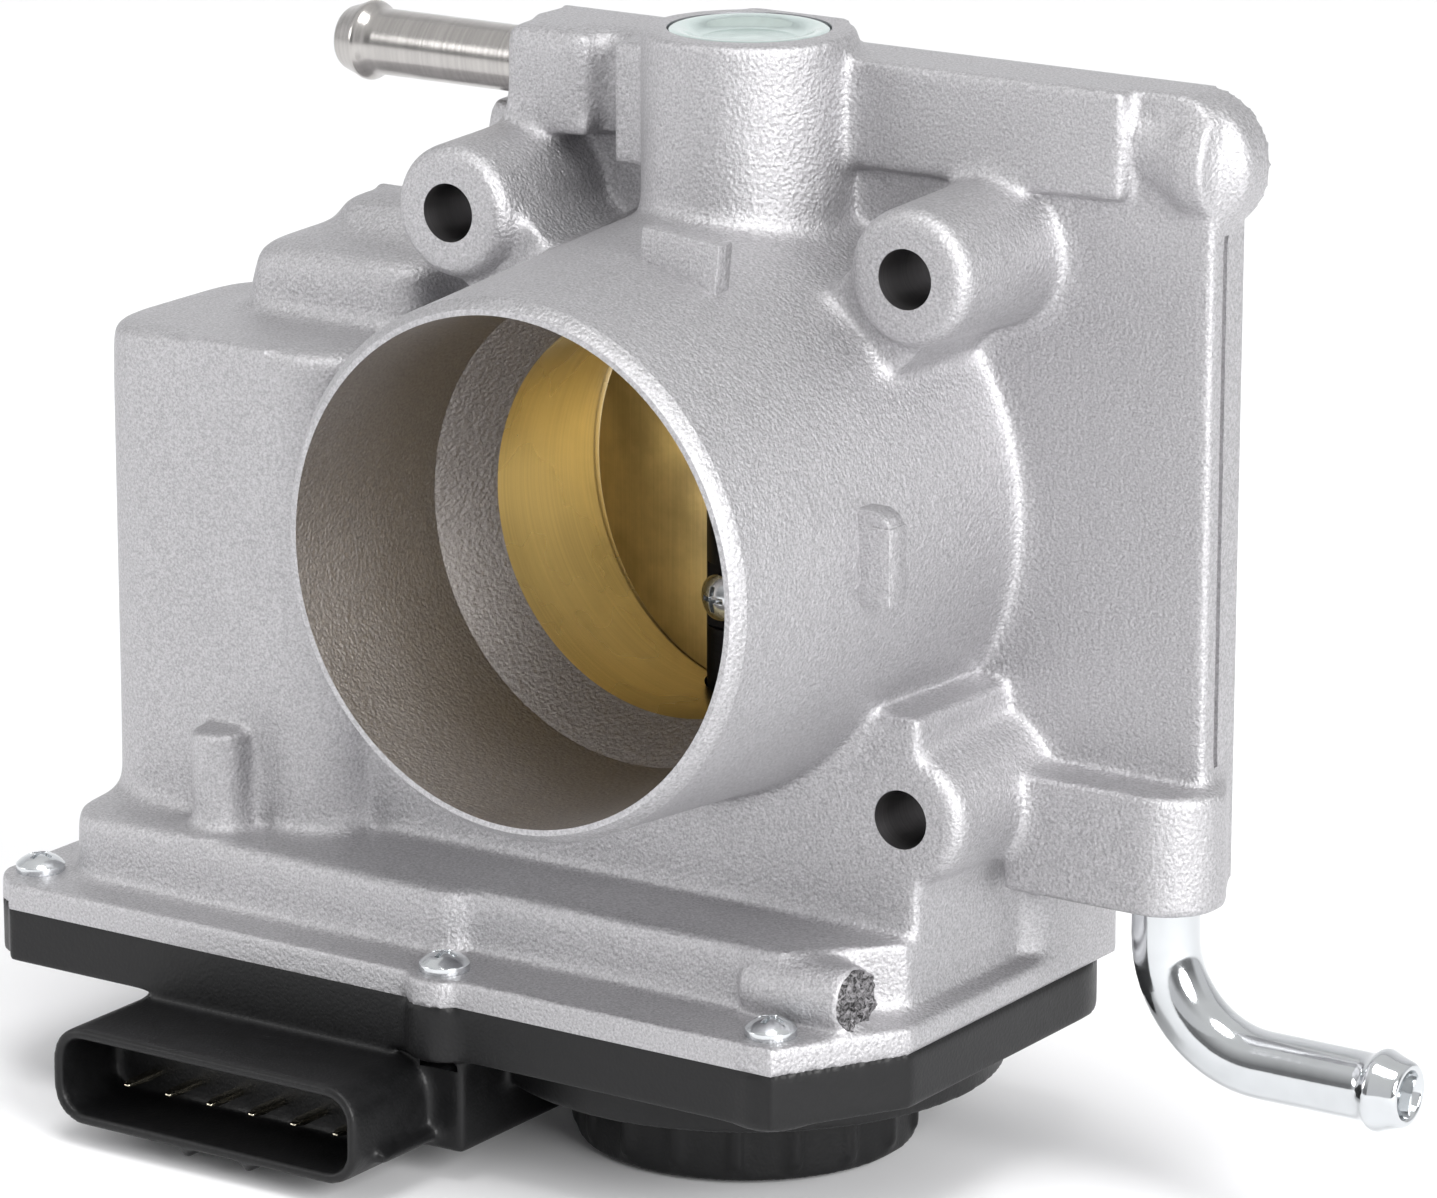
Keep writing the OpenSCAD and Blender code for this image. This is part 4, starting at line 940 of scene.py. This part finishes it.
@dataclass
class ThrottleValve:
    """The plate on its shaft, with its screws, bearings and the plug over the upper bearing."""

    plug_r: float = 9.85
    plug_low: float = 51.0

    def core_plug(self) -> bpy.types.Object:
        """Makes the dished plug pressed in over the upper bearing."""
        r = self.plug_r
        profile = [(0, 2.55), (0.01, 3.62), (3.0, 3.66), (5.6, 3.72), (6.3, 3.82), (6.9, 4.15), (7.3, 4.5),
                   (7.8, 4.78), (8.5, 5.0), (9.1, 5.02), (9.55, 4.9), (9.78, 4.6), (r, 4.2), (r, 0.15),
                   (r - 0.15, 0), (r - 1.3, 0), (r - 1.3, 2.2), (r - 1.7, 2.55), (0, 2.55)]
        piece = turned("core_plug_dished", profile[:-1] + [(0.01, 2.55)], Axis.Z, (0, 0, self.plug_low), 128)
        return piece

    def build(self) -> None:
        """Makes and dresses the valve's pieces."""
        plug = self.core_plug()
        shade(plug, 50)
        dress(plug, CORE_ZINC)
        settle(plug, "body", "zinc_bright", "core_plug")
        for node, name, width, finish, slot in (
                ("throttle_plate", "throttle_plate_turned", 0.16, BRASS, "plate_brass"),
                ("throttle_shaft", "throttle_shaft_ground", 0.3, BLACK_STEEL, "shaft_black"),
                ("plate_screws", "plate_screws_pan", 0.14, ZINC, "zinc_bright")):
            piece = cad_copy(node, name)
            break_edges(piece, width)
            dress(piece, finish)
            settle(piece, "throttle", slot, node)
        for node, finish in (("upper_bearing", GROUND), ("lower_bearing", GROUND), ("shaft_seal", RUBBER)):
            dress(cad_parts[node], finish)


# ---------------------------------------------------------------- drive


@dataclass
class GearDrive:
    """Motor, gears, spring and stops inside the gear case: shaped by the CAD, dressed here."""

    finishes: dict[str, Finish] = field(default_factory=lambda: {
        "sector_gear": ACETAL, "intermediate_gear": ACETAL, "intermediate_pin": GROUND,
        "sensor_magnets": MAGNET,
        "shaft_nut": ZINC, "return_spring": SPRING_WIRE, "stop_screw": ZINC, "motor_can": CAN_STEEL,
        "motor_magnets": MAGNET, "motor_armature": LAMINATED, "motor_shaft": GROUND,
        "motor_pinion": PINION_BRASS,
        "motor_end_cap": COVER_PLASTIC, "motor_screws": ZINC, "motor_wave_spring": SPRING_WIRE,
        "motor_terminals": TINNED, "sensor_board": SOLDER_MASK,
    })

    def build(self) -> None:
        """Dresses each CAD node of the drive."""
        for node, finish in self.finishes.items():
            dress(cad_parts[node], finish)
            LOG.info("%s: %s", node, finish.name)


# ---------------------------------------------------------------- gear cover


@dataclass
class GearCover:
    """The moulded cover with its sensor drum and connector, its seal, screws and inserts."""

    joint_z: float = -58.8
    edge_low: float = -65.6
    screws: tuple[tuple[float, float], ...] = CastHousing.screws
    insert_r: float = 3.1
    plug_x: float = -44.6
    plug_z: float = -72.9
    plug_reach: float = 52.2
    plug_root: float = -33.0
    plug_depth: float = 11.0
    pins: int = 6
    pin_pitch: float = 6.4
    pin_w: float = 1.5
    pin_t: float = 0.7
    pin_tip: float = 47.2

    def pin_x(self, i: int) -> float:
        """Gives the place of a blade along X."""
        return self.plug_x + 0.5 + (i - (self.pins - 1) / 2) * self.pin_pitch

    def moulding(self) -> bpy.types.Object:
        """Makes the cover with softly rounded edges, its blade and insert holes closed."""
        body = cad_copy("gear_cover", "gear_cover_moulded")
        back = self.plug_depth - self.plug_reach
        low, high = self.plug_z - 1.8 - self.pin_t, self.plug_z - 1.8 + self.pin_t
        fill = [slab("fill", (self.pin_x(i) - self.pin_w, back, low),
                     (self.pin_x(i) + self.pin_w, self.plug_root + 1, high))
                for i in range(self.pins)]
        fill += [rod("fill", Axis.Z, (x, y, 0), self.insert_r + 0.5, self.edge_low - 0.4 * (i in (1, 2)),
                     self.joint_z)
                 for i, (x, y) in enumerate(self.screws)]
        combine(body, fill, Cut.ADD)
        revoxel(body, CAST_VOXEL)
        skin = Wear(body.data)
        x, y, z = skin.at.T
        hold = (1 - ramp(z, -60.0, -59.0))[:, None]
        skin.fill(10, hold)
        skin.smooth(3, hold)
        skin.write()
        holes = [rod("hole", Axis.Z, (x, y, 0), self.insert_r + 0.02, self.edge_low - 2, self.joint_z + 1)
                 for x, y in self.screws]
        combine(body, [gathered(holes)], Cut.REMOVE)
        return body

    def blade(self, i: int) -> bpy.types.Object:
        """Makes one connector blade with a coined, tapered tip."""
        x, z = self.pin_x(i), self.plug_z - 1.8
        w, t, tip = self.pin_w / 2, self.pin_t / 2, -self.pin_tip
        stations = [(tip, 0.45, 0.35), (tip + 0.25, 0.62, 0.5), (tip + 1.5, 1.0, 1.0),
                    (self.plug_root, 1.0, 1.0)]
        corners = [(x + sx * w * a, y, z + sz * t * b)
                   for y, a, b in stations for sx, sz in ((-1, -1), (1, -1), (1, 1), (-1, 1))]
        faces = [(3, 2, 1, 0), tuple(range(12, 16))]
        for k in range(3):
            faces += [(4 * k + j, 4 * k + (j + 1) % 4, 4 * k + 4 + (j + 1) % 4, 4 * k + 4 + j)
                      for j in range(4)]
        return solid(f"connector_blade_{i + 1}", corners, faces)

    def build(self) -> None:
        """Makes and dresses the cover's pieces."""
        body = self.moulding()
        shade(body, 40)
        dress(body, COVER_PLASTIC)
        settle(body, "body", "black_plastic", "gear_cover")
        for i in range(self.pins):
            piece = self.blade(i)
            break_edges(piece, 0.08)
            dress(piece, TINNED)
            settle(piece, "body", "contact_tin", *(["connector_pins"] if i == 0 else []))
        screws = cad_copy("cover_screws", "cover_screws_pan")
        break_edges(screws, 0.16)
        dress(screws, ZINC)
        settle(screws, "body", "zinc_bright", "cover_screws")
        inserts = cad_copy("cover_inserts", "cover_inserts_rolled")
        break_edges(inserts, 0.15)
        dress(inserts, ZINC)
        settle(inserts, "body", "zinc_bright", "cover_inserts")
        dress(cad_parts["cover_seal"], RUBBER)


# ---------------------------------------------------------------- coolant nipples


@dataclass
class CoolantNipples:
    """The straight satin nipple in the gallery and the bright bent pipe under the riser."""

    tube_r: float = 4.1
    hole_r: float = 2.9
    bead_r: float = 4.95
    straight_from: float = -23.6
    straight_len: float = 39.2
    pipe_x: float = 56.7
    pipe_y: float = 4.4
    pipe_top: float = -32.8
    bend_top: float = -47.5
    bend_r: float = 14.0
    tail: float = 19.2

    def end_stations(self, length: float) -> Outline:
        """Gives (distance along, radius) of a hose end with a rolled bead.

        Args:
            length: distance along the tube at which it ends, in mm.

        Returns:
            The stations from just before the bead to the rim.
        """
        r, bead = self.tube_r, self.bead_r
        return [(length - 6.0, r), (length - 5.2, r + 0.04), (length - 4.6, r + 0.3),
                (length - 4.1, bead - 0.16), (length - 3.75, bead), (length - 3.3, bead),
                (length - 2.9, bead - 0.14), (length - 2.2, r + 0.42), (length - 1.2, r + 0.1),
                (length - 0.5, r - 0.12), (length - 0.15, r - 0.34), (length, r - 0.6),
                (length, self.hole_r + 0.25), (length - 0.25, self.hole_r)]

    def swept(self, name: str, stations: Outline, place: Section, steps: int = 64) -> bpy.types.Object:
        """Sweeps a round section along a path.

        Args:
            name: name of the piece.
            stations: (distance along, radius), outside first and then back along the bore.
            place: gives a centre and two section directions for a distance along.
            steps: facets round the section.

        Returns:
            The closed tube.
        """
        corners, faces = [], []
        for along, radius in stations:
            centre, side, up = place(along)
            for i in range(steps):
                angle = 2 * math.pi * i / steps
                across, above = radius * math.cos(angle), radius * math.sin(angle)
                corners.append(tuple(centre + side * across + up * above))
        count = len(stations)
        for k in range(count):
            for i in range(steps):
                j = (i + 1) % steps
                a, b = k * steps, ((k + 1) % count) * steps
                faces.append((a + i, a + j, b + j, b + i))
        return solid(name, corners, faces)

    def straight(self) -> bpy.types.Object:
        """Makes the straight nipple."""
        length = self.straight_len
        stations = [(0, self.tube_r), (8, self.tube_r), (20, self.tube_r)] + self.end_stations(length)
        stations += [(length - 6, self.hole_r), (0, self.hole_r)]

        def place(along: float) -> tuple[Vector, Vector, Vector]:
            """Gives the section along -X."""
            return Vector((self.straight_from - along, 5, 47.4)), Vector((0, 1, 0)), Vector((0, 0, 1))

        return self.swept("straight_nipple_tube", stations, place)

    def bent(self) -> bpy.types.Object:
        """Makes the bent pipe: down out of its boss, round the bend and out along X."""
        drop = self.pipe_top - self.bend_top
        arc = math.pi / 2 * self.bend_r
        length = drop + arc + self.tail
        outer = [(0, self.tube_r), (drop * 0.5, self.tube_r), (drop, self.tube_r)]
        outer += [(drop + arc * i / 16, self.tube_r) for i in range(1, 17)]
        inner = [(along, self.hole_r) for along, _ in reversed(outer)]

        def place(along: float) -> tuple[Vector, Vector, Vector]:
            """Gives the section on the pipe's path."""
            ahead = Vector((0, 1, 0))
            if along <= drop:
                return Vector((self.pipe_x, self.pipe_y, self.pipe_top - along)), Vector((1, 0, 0)), ahead
            if along <= drop + arc:
                turn = (along - drop) / self.bend_r
                centre = Vector((self.pipe_x + self.bend_r * (1 - math.cos(turn)), self.pipe_y,
                                 self.bend_top - self.bend_r * math.sin(turn)))
                return centre, Vector((math.cos(turn), 0, math.sin(turn))), ahead
            beyond = along - drop - arc
            return (Vector((self.pipe_x + self.bend_r + beyond, self.pipe_y, self.bend_top - self.bend_r)),
                    Vector((0, 0, 1)), ahead)

        stations = outer + self.end_stations(length) + [(length - 6, self.hole_r)] + inner
        return self.swept("bent_nipple_pipe", stations, place)

    def build(self) -> None:
        """Makes and dresses both nipples."""
        for piece, finish, slot, node in ((self.straight(), SATIN_TUBE, "nipple_steel", "straight_nipple"),
                                          (self.bent(), BRIGHT_PIPE, "zinc_bright", "bent_nipple")):
            shade(piece, 60)
            dress(piece, finish)
            settle(piece, "body", slot, node)


# ---------------------------------------------------------------- studio


@dataclass
class Studio:
    """A pale floor with soft light, and the camera."""

    floor_z: float = -82.2
    floor_size: float = 6.0

    def floor(self) -> None:
        """Lays the floor and lets it sweep up behind the object."""
        half, back, rise = self.floor_size / 2, 1.6, 2.4
        radius = 0.9
        line = [(-half, 0.0), (back - radius, 0.0)]
        line += [(back - radius + radius * math.sin(a), radius * (1 - math.cos(a)))
                 for a in [math.pi / 2 * i / 16 for i in range(1, 17)]]
        line += [(back, rise)]
        mesh = bpy.data.meshes.new("floor")
        corners = [(x, y, z + self.floor_z * MM) for y, z in line for x in (-half, half)]
        faces = [(2 * i, 2 * i + 1, 2 * i + 3, 2 * i + 2) for i in range(len(line) - 1)]
        mesh.from_pydata(corners, [], faces)
        mesh.shade_smooth()
        # The studio stands square to the camera
        mesh.transform(Matrix.Rotation(math.radians(34.1), 4, "Z"))
        piece = put("floor", mesh)
        paper = bpy.data.materials.new("white_paper")
        paper.use_nodes = True
        shader = paper.node_tree.nodes["Principled BSDF"]
        shader.inputs["Base Color"].default_value = linear("#f4f4f5")
        shader.inputs["Roughness"].default_value = 0.9
        mesh.materials.append(paper)

    def room(self, tree: bpy.types.NodeTree) -> None:
        """Gives the room a pale wall, with dim stretches between the soft boxes that bright metal shows."""
        ground = tree.nodes["Background"]
        ground.inputs["Strength"].default_value = 0.8
        around = add(tree, "ShaderNodeTexCoord")
        split = add(tree, "ShaderNodeSeparateXYZ", None, {0: around.outputs["Generated"]})
        turn = add(tree, "ShaderNodeMath", None, {0: split.outputs["X"], 1: split.outputs["Y"]},
                   operation="ARCTAN2")
        spread = add(tree, "ShaderNodeMath", {1: 2.5}, {0: turn.outputs[0]}, operation="MULTIPLY")
        wave = add(tree, "ShaderNodeMath", None, {0: spread.outputs[0]}, operation="SINE")
        tones = add(tree, "ShaderNodeValToRGB", None, {"Fac": wave.outputs[0]})
        for stop, place, tone in zip(tones.color_ramp.elements, (0.05, 0.6), (0.28, 0.95)):
            stop.position = place
            stop.color = (tone, tone, tone * 1.02, 1)
        height = add(tree, "ShaderNodeMapRange", {"From Min": 0.2, "From Max": 0.75},
                     {"Value": split.outputs["Z"]})
        above = add(tree, "ShaderNodeMix", {7: (1, 1, 1, 1)},
                    {0: height.outputs["Result"], 6: tones.outputs["Color"]}, data_type="RGBA")
        seen = add(tree, "ShaderNodeLightPath")
        plain = add(tree, "ShaderNodeMix", {7: (0.97, 0.97, 0.98, 1)},
                    {0: seen.outputs["Is Camera Ray"], 6: above.outputs[2]}, data_type="RGBA")
        tree.links.new(plain.outputs[2], ground.inputs["Color"])

    def light(self, name: str, place: tuple[float, float, float], size: float, power: float) -> None:
        """Hangs a soft box that faces the object.

        Args:
            name: name of the light.
            place: where it hangs, in metres.
            size: its width, in metres.
            power: its power, in watts.
        """
        lamp = bpy.data.lights.new(name, "AREA")
        lamp.shape = "DISK"
        lamp.size = size
        lamp.energy = power
        made = bpy.data.objects.new(name, lamp)
        made.location = place
        made.rotation_euler = (-Vector(place)).to_track_quat("-Z", "Y").to_euler()
        bpy.context.scene.collection.objects.link(made)

    def build(self) -> None:
        """Sets the floor, the lights and the camera."""
        self.floor()
        self.light("key_box", (1.25, -0.55, 0.5), 0.8, 22)
        self.light("top_box", (0.3, -0.4, 1.4), 0.7, 9)
        self.light("left_box", (-1.1, -0.9, 0.45), 0.6, 4)
        scene = bpy.context.scene
        world = bpy.data.worlds.new("white_room")
        scene.world = world
        world.use_nodes = True
        self.room(world.node_tree)
        scene.view_settings.view_transform = "Standard"
        lens = bpy.data.cameras.new("camera")
        lens.lens, lens.sensor_width = 175.6, 36.0
        lens.shift_x, lens.shift_y = 0.0157, 0.0012
        lens.clip_start, lens.clip_end = 0.05, 20.0
        eye = bpy.data.objects.new("camera", lens)
        right, up, back = Vector((0.82777, 0.56107, 0.0)), Vector((-0.14798, 0.21832, 0.96459)), Vector(
            (0.54120, -0.79846, 0.26374))
        eye.matrix_world = Matrix((right, up, back)).transposed().to_4x4()
        eye.location = (0.4545, -0.6933, 0.20955)
        scene.collection.objects.link(eye)
        scene.camera = eye


def main() -> None:
    """Builds every sub-assembly and the studio."""
    logging.basicConfig(level=logging.INFO, format="%(message)s")
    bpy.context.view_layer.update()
    for part in (CastHousing(), ThrottleValve(), GearDrive(), GearCover(), CoolantNipples(), Studio()):
        part.build()
        LOG.info("%s built", type(part).__name__)


if __name__ == "__main__":
    main()
